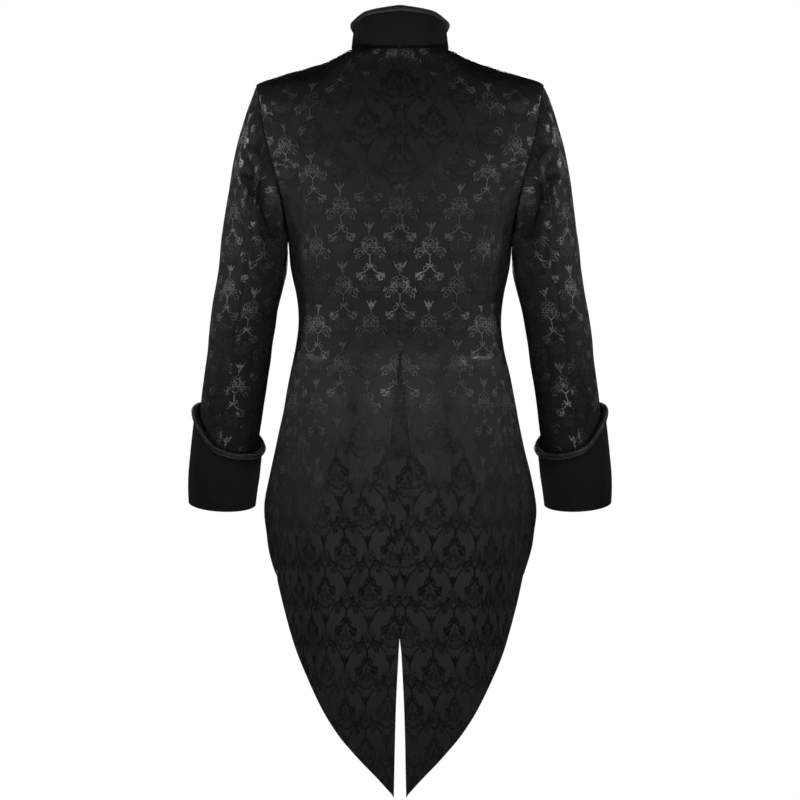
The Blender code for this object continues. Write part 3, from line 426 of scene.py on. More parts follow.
def outer_face(points, triangles, axis):
    """The wall's outer triangles: the widest patch with no sharp bend that faces off the axis."""
    a, b, c = (points[triangles[:, i]] for i in range(3))
    cross = np.cross(b - a, c - a)
    normals = unit(cross)
    beside = {}
    for number, triangle in enumerate(triangles):
        for i in range(3):
            beside.setdefault(frozenset((triangle[i], triangle[i - 1])), []).append(number)
    joined = [[] for _ in triangles]
    for pair in beside.values():
        if len(pair) == 2 and normals[pair[0]] @ normals[pair[1]] > BEND:
            joined[pair[0]].append(pair[1])
            joined[pair[1]].append(pair[0])
    top, bottom = (np.array(point) for point in axis)
    along = unit(bottom - top)
    centres = (a + b + c) / 3 - top
    outward = centres - (centres @ along)[:, None] * along
    return triangles[max(patches(joined), key=lambda patch: np.sum(cross[patch] * outward[patch]))]


def rims(third):
    """The rims of an open skin as loops of points."""
    after = {a: b for a, b in third if (b, a) not in third}
    loops = []
    while after:
        loop = [next(iter(after))]
        while loop[-1] in after:
            loop.append(after.pop(loop[-1]))
        loops.append(loop[:-1])
    return loops


def fill_rows(third, first_row, first_column, columns):
    """Rows of a grid found from its first row and column, cell by cell, or None."""
    rows = [list(first_row)]
    for left in first_column:
        row = [left]
        above = rows[-1]
        for column in range(columns - 1):
            corner, beside, below = above[column], above[column + 1], row[-1]
            found = third.get((corner, below))
            if found == beside:
                found = third.get((beside, below))
            if found is None:
                return None
            row.append(found)
        rows.append(row)
    return rows


def ring_grids(third, points, rows, columns):
    """The grid of a closed wall, followed down from the hindmost point of its upper rim."""
    top = max(rims(third), key=lambda loop: points[loop][:, 2].mean())[::-1]
    start = int(np.argmax(points[top][:, 1]))
    top = top[start:] + top[:start]
    column = []
    for _ in range(rows - 1):
        here = column[-1] if column else top[0]
        near = [b for a, b in third if a == here and b not in top + column]
        steps = points[near] - points[here]
        aside = np.abs(steps[:, 0]) > ASIDE
        column.append(near[np.argmin(np.linalg.norm(steps, axis=1) + aside)])
    grid = fill_rows(third, top + top[:1], column, columns + 1)
    closed = grid and all(row[0] == row[-1] for row in grid)
    return [[row[:-1] for row in grid]] if closed else []


def panel_grids(third, rows, columns):
    """The grids of an open wall, from every point of its rim that they can start at."""
    loop = rims(third)[0]
    found = []
    for start in range(len(loop)):
        rim = loop[start:] + loop[:start]
        top = rim[:1] + rim[2 * rows + columns - 3:][::-1]
        grid = fill_rows(third, top, rim[1:rows], columns)
        bottom = rim[rows - 1:rows - 1 + columns]
        if grid and grid[-1] == bottom and len(set(sum(grid, []))) == rows * columns:
            found.append(grid)
    return found


def wall_rows(name, rows, columns, axis, closed=False):
    """The points of a wall's outer face, rows down and columns to the right as seen from outside."""
    points, triangles = wall_mesh(name)
    # From two corners of a triangle, in its order, to its third one.
    third = {}
    for a, b, c in outer_face(points, triangles, axis).tolist():
        third[a, b], third[b, c], third[c, a] = c, a, b
    if closed:
        found = ring_grids(third, points, rows, columns)
    else:
        found = panel_grids(third, rows, columns)
    if not found:
        raise ValueError(f"{name}: no grid of {rows} by {columns} points")
    best = max(found, key=lambda grid: points[grid[0]][:, 2].mean() - points[grid[-1]][:, 2].mean())
    return points[np.array(best)]


# ---- smooth cloth ----
def ease(value, start, end):
    """0 at start, 1 at end, a soft step between."""
    t = np.clip((value - start) / (end - start), 0.0, 1.0)
    return t * t * (3 - 2 * t)


def unit(vectors):
    return vectors / np.linalg.norm(vectors, axis=-1, keepdims=True)


def smooth_through(points, stops, places):
    """A smooth curve through rows of points at their stops, read at other places."""
    slopes = np.gradient(points, stops, axis=0, edge_order=2)
    i = np.clip(np.searchsorted(stops, places, side="right") - 1, 0, len(stops) - 2)
    span = (stops[i + 1] - stops[i])[:, None, None]
    t = (places - stops[i])[:, None, None] / span
    return (
        (2 * t ** 3 - 3 * t ** 2 + 1) * points[i] + (t ** 3 - 2 * t ** 2 + t) * span * slopes[i]
        + (3 * t ** 2 - 2 * t ** 3) * points[i + 1] + (t ** 3 - t ** 2) * span * slopes[i + 1]
    )


def stops_of(points):
    """Mean distance of each row of points from the first."""
    steps = np.linalg.norm(np.diff(points, axis=0), axis=-1).mean(axis=1)
    return np.concatenate(([0.0], np.cumsum(steps)))


def places_between(stops, cell, edges):
    """The stops and more places between them, no further apart than a cell, closer at edges."""
    places = []
    for start, end in zip(stops[:-1], stops[1:]):
        count = max(1, math.ceil((end - start) / cell))
        places += list(np.linspace(start, end, count, endpoint=False))
    places.append(stops[-1])
    if edges:
        places += [stops[0] + away for away in EDGE_ROWS]
        places += [stops[-1] - away for away in EDGE_ROWS]
    return np.array(sorted(set(np.round(places, 6))))


class Cloth:
    """A piece of cloth as rows of points, with how far each one is across and down the piece."""

    def __init__(self, rows, cell, closed=False, cell_across=None, edges=True):
        self.closed = closed
        down = stops_of(rows)
        rows = smooth_through(rows, down, places_between(down, cell, edges))
        columns = rows.transpose(1, 0, 2)
        if closed:
            count = len(columns)
            columns = np.concatenate((columns[-3:], columns, columns[:4]))
            across = stops_of(columns)
            inner = across[3:3 + count + 1]
            places = places_between(inner, cell_across or cell, False)[:-1]
        else:
            across = stops_of(columns)
            places = places_between(across, cell_across or cell, edges)
        self.points = smooth_through(columns, across, places).transpose(1, 0, 2)
        self.measure()

    def measure(self):
        """Normals, and the way across and down the cloth."""
        points = self.points
        if self.closed:
            beside = np.roll(points, -1, axis=1) - np.roll(points, 1, axis=1)
            steps = np.linalg.norm(np.roll(points, -1, axis=1) - points, axis=-1)
            self.round = steps.sum(axis=1).mean()
            self.across = np.cumsum(steps, axis=1) - steps
        else:
            beside = np.gradient(points, axis=1)
            steps = np.linalg.norm(np.diff(points, axis=1), axis=-1)
            self.across = np.pad(np.cumsum(steps, axis=1), ((0, 0), (1, 0)))
        below = np.gradient(points, axis=0)
        steps = np.linalg.norm(np.diff(points, axis=0), axis=-1)
        self.down = np.pad(np.cumsum(steps, axis=0), ((1, 0), (0, 0)))
        self.normals = unit(np.cross(below, beside))

    @property
    def widths(self):
        return self.across[:, -1:]

    @property
    def lengths(self):
        return self.down[-1:, :]

    def turn_edges(self, reach, depth, top=0.0, bottom=0.0):
        """Reaches a little past every open edge, further at top and bottom, and turns in there."""
        for axis in (0,) if self.closed else (0, 1):
            ends = []
            for end, inner, more in ((0, 1, top), (-1, -2, bottom)):
                here = self.points.take([end], axis=axis)
                way = unit(here - self.points.take([inner], axis=axis))
                rim = here + way * (reach + (more if axis == 0 else 0.0))
                turned = rim - self.normals.take([end], axis=axis) * depth
                ends.append((turned, rim) if end == 0 else (rim, turned))
            self.points = np.concatenate((*ends[0], self.points, *ends[1]), axis=axis)
            for name in ("normals", "across", "down"):
                field = getattr(self, name)
                first, last = field.take([0, 0], axis=axis), field.take([-1, -1], axis=axis)
                setattr(self, name, np.concatenate((first, field, last), axis=axis))

    def depth(self):
        """Distance down the cloth, which agrees with the height at one level."""
        level = [np.interp(MEASURE_LEVEL, -column[:, 2], down)
                 for column, down in zip(self.points.transpose(1, 0, 2), self.down.T)]
        return self.down - np.array(level) + MEASURE_LEVEL

    def edge(self, name):
        """Distance of each point from one edge."""
        return {
            "left": self.across, "right": self.widths - self.across,
            "top": self.down, "bottom": self.lengths - self.down,
        }[name]

    def push(self, height):
        """Moves every point out along its normal."""
        self.points = self.points + self.normals * height[..., None]

    def lookup(self, side, x, z):
        """The cloth's point that is seen at x and z from behind or from the front."""
        facing = self.normals[..., 1] * (1 if side == "behind" else -1) > FACING
        gap = (self.points[..., 0] - x) ** 2 + (self.points[..., 2] - z) ** 2
        gap = np.where(facing, gap, np.inf)
        place = np.unravel_index(np.argmin(gap), gap.shape)
        return self.points[place], gap[place]


def crease_height(cloth, side, crease, mirror):
    """How far one crease lifts or sinks each point of a piece of cloth."""
    x0, z0, x1, z1, bow, width, height, lean = crease
    reach = math.hypot(x1 - x0, z1 - z0)
    line = []
    for t in np.linspace(0.0, 1.0, CREASE_POINTS):
        sag = 4 * t * (1 - t) * bow
        x = x0 + (x1 - x0) * t + sag * (z1 - z0) / reach
        z = z0 + (z1 - z0) * t - sag * (x1 - x0) / reach
        point, gap = cloth.lookup(side, x * mirror, z)
        if gap < CREASE_REACH ** 2:
            line.append((t, point))
    if len(line) < 2:
        return 0.0
    nearest = np.full(cloth.points.shape[:2], np.inf)
    signed = np.zeros_like(nearest)
    along = np.zeros_like(nearest)
    for (t0, start), (t1, end) in zip(line[:-1], line[1:]):
        step = end - start
        squared = float(step @ step)
        if squared < SAME_POINT:
            continue
        share = np.clip(((cloth.points - start) @ step) / squared, 0.0, 1.0)
        off = cloth.points - start - share[..., None] * step
        gap = np.linalg.norm(off, axis=-1)
        closer = gap < nearest
        nearest = np.where(closer, gap, nearest)
        over = np.sum(off * np.cross(cloth.normals, step), axis=-1)
        signed = np.where(closer, np.where(over < 0, -gap, gap) * mirror, signed)
        along = np.where(closer, t0 + (t1 - t0) * share, along)
    taper = ease(along, *CREASE_START) * ease(along, *CREASE_END)
    swell = np.sin(math.pi * np.clip(along, *CREASE_SWELL)) ** 0.5
    fading = width * (CREASE_TIP + (1 - CREASE_TIP) * swell)
    plain = np.exp(-(nearest / fading) ** 2)
    leaning = np.exp(-((signed - TROUGH_AWAY * fading) / fading) ** 2)
    return height * taper * (plain - lean * TROUGH_DEPTH * leaning)


def lay_creases(cloth, creases, mirror, seams, hold_top=0.0):
    """Lays creases and the resting waves on a piece of cloth.

    They fade out at its seams and, over the length hold_top, towards its top.
    """
    height = np.zeros(cloth.points.shape[:2])
    for side, rows in creases.items():
        for crease in rows:
            height = height + crease_height(cloth, side, crease, mirror)
    as_left = cloth.points * np.array((mirror, 1.0, 1.0))
    for number, (wavelength, direction, lift) in enumerate(CLOTH_WAVES):
        way = unit(np.array(direction)) * 2 * math.pi / wavelength
        phase = WAVE_SHIFT * number + SIDE_SHIFT * (1 - mirror)
        height = height + lift * np.sin(as_left @ way + phase)
    for name in seams:
        height = height * ease(cloth.edge(name), *SEAM_FADE)
    if hold_top:
        height = height * ease(cloth.down, 0.0, hold_top)
    cloth.push(height * settings().cloth.creases)
    cloth.measure()


def sink_seams(cloth, seams, seed):
    """Sinks the seams along the named edges and puckers the cloth unevenly beside them.

    The seed shifts the puckers, so that no two kinds of piece have the same ones.
    """
    values = settings().cloth
    height = np.zeros(cloth.points.shape[:2])
    for number, name in enumerate(seams):
        away = cloth.edge(name)
        run = cloth.down if name in ("left", "right") else cloth.across
        height -= values.groove * np.exp(-(away / values.groove_width) ** 2)
        (wide, slow), (narrow, quick) = PUCKER_WANDER
        wander = wide * np.sin(run * slow + seed + number) + narrow * np.sin(run * quick + 2 * seed)
        wave = np.sin(2 * math.pi * run / values.pucker_length + PUCKER_SHIFT * wander)
        strength = 0.5 + 0.5 * np.sin(run * PUCKER_CHANGE + 3.1 * seed + number)
        fade = np.exp(-(away / PUCKER_REACH) ** 2) * ease(away, 0.0, PUCKER_START)
        height += values.pucker * wave * strength * fade
    cloth.push(height)
    cloth.measure()


# ---- making pieces ----
def put(name, data):
    """A new object in the scene."""
    item = bpy.data.objects.new(name, data)
    bpy.context.scene.collection.objects.link(item)
    return item


def make_piece(name, cloth, wall, material, node, slot, shift=0.0, drop=0.0, anchor="left",
               top=0.0, bottom=0.0):
    """A mesh of the cloth with a UV map in metres and a wall turned inwards.

    The pattern is measured from the anchor edge. A shift of None follows the shaped centre seam.
    """
    cloth.turn_edges(settings().cloth.reach, settings().cloth.turning, top, bottom)
    rows, columns = cloth.points.shape[:2]
    over = columns if cloth.closed else columns - 1
    index = np.arange(rows * columns).reshape(rows, columns)
    following = np.roll(index, -1, axis=1)[:, :over]
    here = index[:, :over]
    faces = np.stack((here[:-1], here[1:], following[1:], following[:-1]), axis=-1).reshape(-1, 4)
    mesh = bpy.data.meshes.new(name)
    mesh.from_pydata(cloth.points.reshape(-1, 3).tolist(), [], faces.tolist())
    start = {"left": 0.0, "right": cloth.widths, "middle": cloth.widths / 2}[anchor]
    depth = cloth.depth()
    if shift is None:
        side = 1 if anchor == "right" else -1
        shift = side * np.interp(depth, *zip(*SEAM_SHAPE))
    across = cloth.across - start + shift
    places = np.stack((across, depth + drop), axis=-1).reshape(-1, 2)[faces.reshape(-1)]
    if cloth.closed:
        last = places.reshape(-1, over, 4, 2)
        last[:, -1, 2:, 0] += cloth.round
    layer = mesh.uv_layers.new(name="cloth")
    layer.data.foreach_set("uv", places.astype(np.float32).reshape(-1))
    mesh.shade_smooth()
    mesh.materials.append(material)
    item = put(name, mesh)
    modifier = item.modifiers.new("wall", "SOLIDIFY")
    modifier.thickness = wall
    modifier.offset = -1.0
    bpy.ops.object.select_all(action="DESELECT")
    item.select_set(True)
    bpy.context.view_layer.objects.active = item
    bpy.ops.object.modifier_apply(modifier="wall")
    bpy.ops.object.shade_smooth_by_angle(angle=math.radians(CLOTH_BEND))
    finish_piece(item, slot, node)
    return item


def finish_piece(item, slot, *nodes):
    """The piece rides on the coat and stands for its CAD nodes, which it hides. Its slot is not used."""
    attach(item, "root")
    if nodes:
        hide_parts(*nodes)


def declare_sheet(cut):
    """Reads the width, length and area of a cut; nothing more is done with them."""
    width, length, area = CUTS[cut]


def jacquard_piece(name, cut, side, cloth, shift, drop=0.0, anchor="left"):
    """A jacquard panel of the wearer's left or right."""
    item = make_piece(
        f"{name}_{side}", cloth, settings().cloth.wall, made_of("black_jacquard", jacquard),
        f"{cut}_{side}", "jacquard", shift, drop, anchor)
    declare_sheet(cut)


def velvet_piece(cut, side, cloth, band, **past_edge):
    """A velvet piece with the braid on its edge."""
    trim = settings().trim
    item = make_piece(
        f"{cut}_velvet{side}", cloth, settings().cloth.velvet_wall,
        made_of("black_velvet", velvet), f"{cut}{side}", "velvet", **past_edge)
    braid = make_piece(
        f"{cut}_braid_cords{side}", band, trim.braid_wall,
        made_of("black_braid", thread, *BRAID_THREAD), f"{cut}_braid{side}", "braid")
    declare_sheet(cut)


# ---- materials ----
class Graph:
    """Adds nodes to a tree, one call for each, and links them."""

    def __init__(self, tree):
        self.tree = tree

    def feed(self, node, inputs):
        """Links or sets inputs of a node, by name or number."""
        for key, value in inputs.items():
            if isinstance(value, bpy.types.NodeSocket):
                self.tree.links.new(value, node.inputs[key])
            else:
                node.inputs[key].default_value = value

    def add(self, kind, inputs=(), output=0, **values):
        """A new node with these inputs and values, as one of its outputs."""
        node = self.tree.nodes.new(kind)
        for key, value in values.items():
            setattr(node, key, value)
        self.feed(node, inputs if isinstance(inputs, dict) else dict(enumerate(inputs)))
        return node.outputs[output]

    def math(self, operation, *inputs, clamp=False):
        return self.add("ShaderNodeMath", inputs, operation=operation, use_clamp=clamp)

    def scaled(self, value, factor, plus):
        return self.math("MULTIPLY_ADD", value, factor, plus)

    def vector(self, operation, *inputs, output=0):
        return self.add("ShaderNodeVectorMath", inputs, output, operation=operation)

    def scale(self, vector, factor):
        return self.add("ShaderNodeVectorMath", {0: vector, 3: factor}, operation="SCALE")

    def split(self, vector):
        """The two first parts of a vector."""
        return self.add("ShaderNodeSeparateXYZ", (vector,)).node.outputs[:2]

    def step(self, value, start, end, low=0.0, high=1.0):
        """A soft step of a value."""
        return self.add("ShaderNodeMapRange", (value, start, end, low, high),
                        interpolation_type="SMOOTHSTEP")

    def noise(self, vector, scale, detail=2.0, roughness=0.5):
        return self.add("ShaderNodeTexNoise", {
            "Vector": vector, "Scale": scale, "Detail": detail, "Roughness": roughness})

    def slanting(self, vector, scale, distortion):
        """Slanting strands or ribs side by side."""
        return self.add("ShaderNodeTexWave", {
            "Vector": vector, "Scale": scale, "Distortion": distortion, "Detail": 1.0}, 1,
            bands_direction="DIAGONAL")

    def mix(self, factor, first, second):
        return self.add("ShaderNodeMix", {0: factor, 6: first, 7: second}, 2, data_type="RGBA")

    def blend(self, factor, first, second):
        return self.add("ShaderNodeMix", {0: factor, 2: first, 3: second}, 0, data_type="FLOAT")

    def shaded(self, shade, full):
        """A colour, darker where the shade is less than 1."""
        return self.mix(shade, (0.0, 0.0, 0.0, 1.0), (*full, 1.0))

    def relief(self, strength, distance, height):
        return self.add("ShaderNodeBump", {
            "Strength": strength, "Distance": distance, "Height": height})

    def cloth_place(self):
        """Place on the cloth in metres, across and down."""
        return self.add("ShaderNodeUVMap", uv_map="cloth")

    def object_place(self):
        return self.add("ShaderNodeTexCoord", output=3)


def stroke_gap(graph, point, strokes):
    """Distance to the nearest of the tapered straight strokes, negative inside one."""
    nearest = FAR
    for x0, t0, x1, t1, start_width, end_width in strokes:
        way = Vector((x1 - x0, t1 - t0, 0.0))
        off = graph.vector("SUBTRACT", point, (x0, t0, 0.0))
        share = graph.vector("DOT_PRODUCT", off, way / way.length_squared, output=1)
        share = graph.math("ADD", share, 0.0, clamp=True)
        rest = graph.vector("SUBTRACT", off, graph.scale(tuple(way), share))
        gap = graph.vector("LENGTH", rest, output=1)
        gap = graph.scaled(share, start_width - end_width, gap)
        nearest = graph.math("MINIMUM", nearest, graph.math("SUBTRACT", gap, start_width))
    return nearest


def arc_gap(graph, point, arcs, nearest):
    """Distance to the nearest of the arcs, negative inside one."""
    for cx, ct, radius, width, start, end in arcs:
        off = graph.vector("SUBTRACT", point, (cx, ct, 0.0))
        gap = graph.math("SUBTRACT", graph.vector("LENGTH", off, output=1), radius)
        gap = graph.math("SUBTRACT", graph.math("ABSOLUTE", gap), width)
        x, t = graph.split(off)
        turn = graph.math("ARCTAN2", t, x)
        past = graph.math("LESS_THAN", turn, math.radians(start))
        past = graph.math("ADD", past, graph.math("GREATER_THAN", turn, math.radians(end)))
        nearest = graph.math("MINIMUM", nearest, graph.scaled(past, FAR, gap))
    return nearest


def repeat_point(graph, place):
    """Place in metres to the point of the half-drop repeat in millimetres, from its middle line."""
    wander = graph.scaled(graph.noise(place, WOBBLE_SCALE, detail=1.0), 2 * WOBBLE, -WOBBLE)
    across, down = graph.split(graph.scale(place, 1000.0))
    across = graph.math("ADD", across, wander)
    down = graph.math("SUBTRACT", down, wander)
    x = graph.math("PINGPONG", across, REPEAT_WIDTH / 4)
    drop = graph.math("GREATER_THAN", graph.math("PINGPONG", across, REPEAT_WIDTH / 2),
                      REPEAT_WIDTH / 4)
    dropped = graph.scaled(drop, REPEAT_HEIGHT / 2, down)
    t = graph.math("WRAP", dropped, REPEAT_HEIGHT, 0.0)
    return graph.add("ShaderNodeCombineXYZ", (x, t, 0.0))


def figure_group():
    """Node group: cloth place in metres to the woven figure's share and the painted shade round it."""
    tree = bpy.data.node_groups.new("woven_figure", "ShaderNodeTree")
    tree.interface.new_socket("Place", in_out="INPUT", socket_type="NodeSocketVector")
    for name in ("Figure", "Dark"):
        tree.interface.new_socket(name, in_out="OUTPUT", socket_type="NodeSocketFloat")
    graph = Graph(tree)
    place = graph.add("NodeGroupInput")
    point = repeat_point(graph, place)
    rose = arc_gap(graph, point, ROSE_ARCS, stroke_gap(graph, point, ROSE_STROKES))
    main = arc_gap(graph, point, FIGURE_ARCS, stroke_gap(graph, point, FIGURE_STROKES))
    figure, painted_shade = 0.0, 0.0
    for gap, strength, darkness in (
            (rose, ROSE_STRENGTH, ROSE_DARKNESS), (main, 1.0, FIGURE_DARKNESS)):
        line = graph.step(gap, BOLDNESS + EDGE, BOLDNESS - EDGE, 0.0, strength)
        figure = graph.math("MAXIMUM", figure, line)
        # Painted shade: the cloth beside each woven line is coloured darker, as if shaded where the
        # figure's border lies lower.
        beside = graph.step(gap, BOLDNESS + DARK_EDGE, BOLDNESS, 0.0, darkness)
        painted_shade = graph.math("MAXIMUM", painted_shade, beside)
    cells = graph.add("ShaderNodeTexVoronoi", {
        "Vector": point, "Scale": 1.0 / FILIGREE_CELL, "Randomness": 1.0},
        feature="DISTANCE_TO_EDGE", voronoi_dimensions="2D")
    net = graph.step(cells, *FILIGREE_LINE)
    for cx, ct, half_width, half_height, strength in FILIGREE:
        off = graph.vector("SUBTRACT", point, (cx, ct, 0.0))
        inside = graph.vector("LENGTH", graph.vector(
            "DIVIDE", off, (half_width, half_height, 1.0)), output=1)
        patch = graph.step(inside, *FILIGREE_EDGE, 0.0, strength)
        figure = graph.math("MAXIMUM", figure, graph.math("MULTIPLY", net, patch))
    worn = graph.step(graph.noise(place, WEAR_SCALE, detail=1.0), *WEAR)
    figure = graph.math("MULTIPLY", figure, worn)
    links = {0: figure, 1: graph.math("MAXIMUM", figure, painted_shade)}
    graph.feed(tree.nodes.new("NodeGroupOutput"), links)
    return tree


def made_of(name, finish, *values):
    """The material of that name, which gets the finish when it's first asked for."""
    material = bpy.data.materials.get(name)
    if material is None:
        material = bpy.data.materials.new(name)
        material.use_nodes = True
        graph = Graph(material.node_tree)
        graph.feed(material.node_tree.nodes["Principled BSDF"], finish(graph, *values))
    return material


def jacquard(graph):
    """Matt twill ground with a satin figure, which catches the light and is darker out of it."""
    colours = settings().colours
    place = graph.cloth_place()
    figure, painted_shade = graph.add(
        "ShaderNodeGroup", (place,), node_tree=figure_group()).node.outputs
    mottle = graph.noise(place, scale=22.0, detail=3.0, roughness=0.6)
    slub = graph.noise(
        graph.vector("MULTIPLY", place, (60.0, 900.0, 1.0)), scale=1.0, detail=1.0)
    shade = graph.math("MULTIPLY", graph.scaled(mottle, 0.7, 0.65), graph.scaled(slub, 0.5, 0.75))
    twill = graph.slanting(
        graph.vector("MULTIPLY", place, (1.0, 0.6, 1.0)), scale=420.0, distortion=0.6)
    return {
        # Besides the figure's own dark colour, the base colour paints shade in a band beside each woven
        # line, over the mottled ground.
        "Base Color": graph.mix(painted_shade, graph.shaded(shade, colours.ground), (*colours.figure, 1.0)),
        "Roughness": graph.blend(figure, graph.scaled(mottle, 0.10, 0.58), 0.36),
        "Specular IOR Level": graph.blend(figure, 0.07, 1.0),
        "IOR": graph.blend(figure, 1.45, 1.8),
        "Anisotropic": 0.85,
        "Tangent": graph.add("ShaderNodeTangent", direction_type="UV_MAP", uv_map="cloth"),
        "Normal": graph.relief(strength=0.22, distance=0.0002, height=twill),
    }


def velvet(graph):
    """Short dense pile: nearly black face-on and lighter where it turns away."""
    place = graph.cloth_place()
    brushed = graph.noise(
        graph.vector("MULTIPLY", place, (1.0, 0.35, 1.0)), scale=38.0, detail=4.0, roughness=0.65)
    pile = graph.noise(place, scale=2400.0, detail=2.0, roughness=0.7)
    return {
        "Base Color": graph.shaded(graph.scaled(brushed, 1.1, 0.45), settings().colours.velvet),
        "Roughness": graph.scaled(brushed, 0.2, 0.75),
        "Specular IOR Level": 0.12,
        "Sheen Weight": 0.10,
        "Sheen Roughness": 0.45,
        "Sheen Tint": (0.55, 0.55, 0.58, 1.0),
        "Normal": graph.relief(
            strength=0.5, distance=0.0008, height=graph.scaled(pile, 0.35, brushed)),
    }


def thread(graph, rough, spacing):
    """Twisted shiny thread laid in slanting strands, with painted shade in the grooves between them."""
    place = graph.cloth_place()
    strands = graph.slanting(place, scale=STRANDS / spacing, distortion=0.8)
    return {
        # Painted shade: the colour darkens with the same strands as the relief, darkest in the grooves
        # between strands.
        "Base Color": graph.shaded(graph.scaled(strands, 0.75, 0.4), settings().colours.braid),
        "Roughness": graph.scaled(graph.noise(place, scale=900.0, detail=2.0), 0.2, rough),
        "Specular IOR Level": 0.5,
        "Normal": graph.relief(strength=0.6, distance=0.0004, height=strands),
    }


def button_black(graph):
    """Satin black with the faint scratches of a worn button."""
    worn = graph.noise(graph.object_place(), scale=260.0, detail=4.0, roughness=0.7)
    return {
        "Base Color": graph.shaded(graph.scaled(worn, 0.8, 0.6), settings().colours.button),
        "Roughness": graph.scaled(worn, 0.22, 0.16),
        "Normal": graph.relief(strength=0.12, distance=0.0002, height=worn),
    }


def pale_floor(graph):
    """Matt and pale, a little cloudy."""
    cloud = graph.noise(graph.object_place(), scale=0.8, detail=3.0)
    shade = graph.mix(cloud, (0.74, 0.74, 0.74, 1.0), (0.80, 0.80, 0.80, 1.0))
    return {"Base Color": shade, "Roughness": 0.9}


# ---- operators ----
SIDES = (("left", 1), ("right", -1))


def on_side(edge, side):
    """Name of an edge on the wearer's left or right."""
    return {"left": "right", "right": "left"}.get(edge, edge) if side == "right" else edge


def mirrored(points, mirror):
    """Points of the wearer's left, moved to the right where mirror is -1."""
    return [(x * mirror, y, z) for x, y, z in points]


class TAILCOAT_OT_body(bpy.types.Operator):
    """Back, side and front panels and the underlay of the pleat"""
    bl_idname = "tailcoat.body"
    bl_label = "Body panels"

    def execute(self, context):
        cloth_settings = settings().cloth
        for panel, rows, columns, anchor, seams, shift, drop in PANELS:
            for side, mirror in SIDES:
                grid = wall_rows(f"{panel}_{side}", rows, columns, BODY_AXIS)
                cloth = Cloth(grid, cloth_settings.cell)
                edges = [on_side(edge, side) for edge in seams]
                lay_creases(cloth, BODY_CREASES, mirror, edges)
                sink_seams(cloth, edges, 1.0 + rows)
                jacquard_piece(f"{panel}_cloth", panel, side, cloth,
                               None if shift is None else shift * mirror, drop,
                               on_side(anchor, side))
        for side, mirror in SIDES:
            grid = wall_rows(f"vent_underlay_{side}", *UNDERLAY_SIZE, BODY_AXIS)
            cloth = Cloth(grid, cloth_settings.cell)
            jacquard_piece("pleat_underlay", "vent_underlay", side, cloth,
                           UNDERLAY_SHIFT * mirror)
        return {"FINISHED"}


class TAILCOAT_OT_sleeves(bpy.types.Operator):
    """Two-piece sleeves with the creases of a hanging arm"""
    bl_idname = "tailcoat.sleeves"
    bl_label = "Sleeves"

    def execute(self, context):
        for piece, rows, columns, shift, drop in SLEEVES:
            for side, mirror in SIDES:
                grid = wall_rows(f"{piece}_{side}", rows, columns, mirrored(ARM_AXIS, mirror))
                cloth = Cloth(grid, settings().cloth.cell)
                lay_creases(cloth, SLEEVE_CREASES, mirror, ("left", "right"), SLEEVE_HEAD_FADE)
                sink_seams(cloth, ("left", "right", "top"), 2.0 + columns)
                jacquard_piece(f"{piece}_cloth", piece, side, cloth, shift * mirror, drop,
                               "middle")
        return {"FINISHED"}


def cord_band(node, size, axis, closed=False):
    """A braid's flat wall as two cords side by side, beaded along the upper edge."""
    trim = settings().trim
    cloth = Cloth(wall_rows(node, *size, axis, closed), CORD_CELL, closed, CORD_CELL_ALONG,
                  edges=False)
    share = cloth.down / cloth.lengths
    spacing = trim.bead_length
    if closed:
        spacing = cloth.round / round(cloth.round / spacing)
    beads = cloth.across / spacing
    hump = np.abs(np.sin(2 * math.pi * np.clip(share, 0.0, 1.0))) ** CORD_ROUNDNESS
    strand = 1.0 - TWIST_DEPTH * (1.0 - np.cos(2 * math.pi * (beads + share)))
    cloth.push(trim.cord_height * (hump * strand - CORD_SINK))
    cloth.points[..., 2] += trim.bead * np.cos(2 * math.pi * beads) * ease(share, BEADED, 0.0)
    cloth.measure()
    return cloth


def round_corners(cloth, share):
    """Lets the collar fall a little beside the neck, so that its corners look round from behind."""
    away = np.abs(cloth.points[..., 0])
    cloth.points[..., 2] -= settings().trim.round_off * share * ease(away, *COLLAR_CORNER)
    cloth.measure()


class TAILCOAT_OT_collar(bpy.types.Operator):
    """Velvet stand collar with braid on its upper edge"""
    bl_idname = "tailcoat.collar"
    bl_label = "Collar"

    def execute(self, context):
        cloth = Cloth(wall_rows("collar", *COLLAR_SIZE, BODY_AXIS), VELVET_CELL)
        sink_seams(cloth, ("bottom",), 0.5)
        round_corners(cloth, 1.0 - cloth.down / cloth.lengths)
        band = cord_band("collar_braid", COLLAR_BRAID_SIZE, BODY_AXIS)
        round_corners(band, 1.0)
        velvet_piece("collar", "", cloth, band, bottom=settings().trim.under)
        return {"FINISHED"}


class TAILCOAT_OT_cuffs(bpy.types.Operator):
    """Turned velvet cuffs with braid on their shaped upper edge"""
    bl_idname = "tailcoat.cuffs"
    bl_label = "Cuffs"

    def execute(self, context):
        for side, mirror in SIDES:
            axis = mirrored(ARM_AXIS, mirror)
            rings = wall_rows(f"cuff_{side}", *CUFF_SIZE, axis, closed=True)
            cloth = Cloth(rings, VELVET_CELL, closed=True)
            band = cord_band(f"cuff_braid_{side}", CUFF_BRAID_SIZE, axis, closed=True)
            velvet_piece("cuff", f"_{side}", cloth, band, top=settings().trim.under)
        return {"FINISHED"}


def button_place(node):
    """Seat, outward axis, radius and height of a CAD button."""
    points, _ = wall_mesh(node)
    middle = (points.max(axis=0) + points.min(axis=0)) / 2
    _, _, ways = np.linalg.svd(points - points.mean(axis=0))
    out = ways[2] if ways[2][1] < 0 else -ways[2]
    along = (points - middle) @ out
    radius = np.linalg.norm(points - middle - along[:, None] * out, axis=1).max()
    return Vector(middle + out * along.min()), Vector(out), float(radius), float(np.ptp(along))


def seat_matrix(place, out):
    """Turns +Z to the outward direction and moves the origin to the place."""
    side = Vector((0.0, 0.0, 1.0)).cross(out).normalized()
    turn = Matrix((side, out.cross(side), out)).transposed().to_4x4()
    return Matrix.Translation(place) @ turn


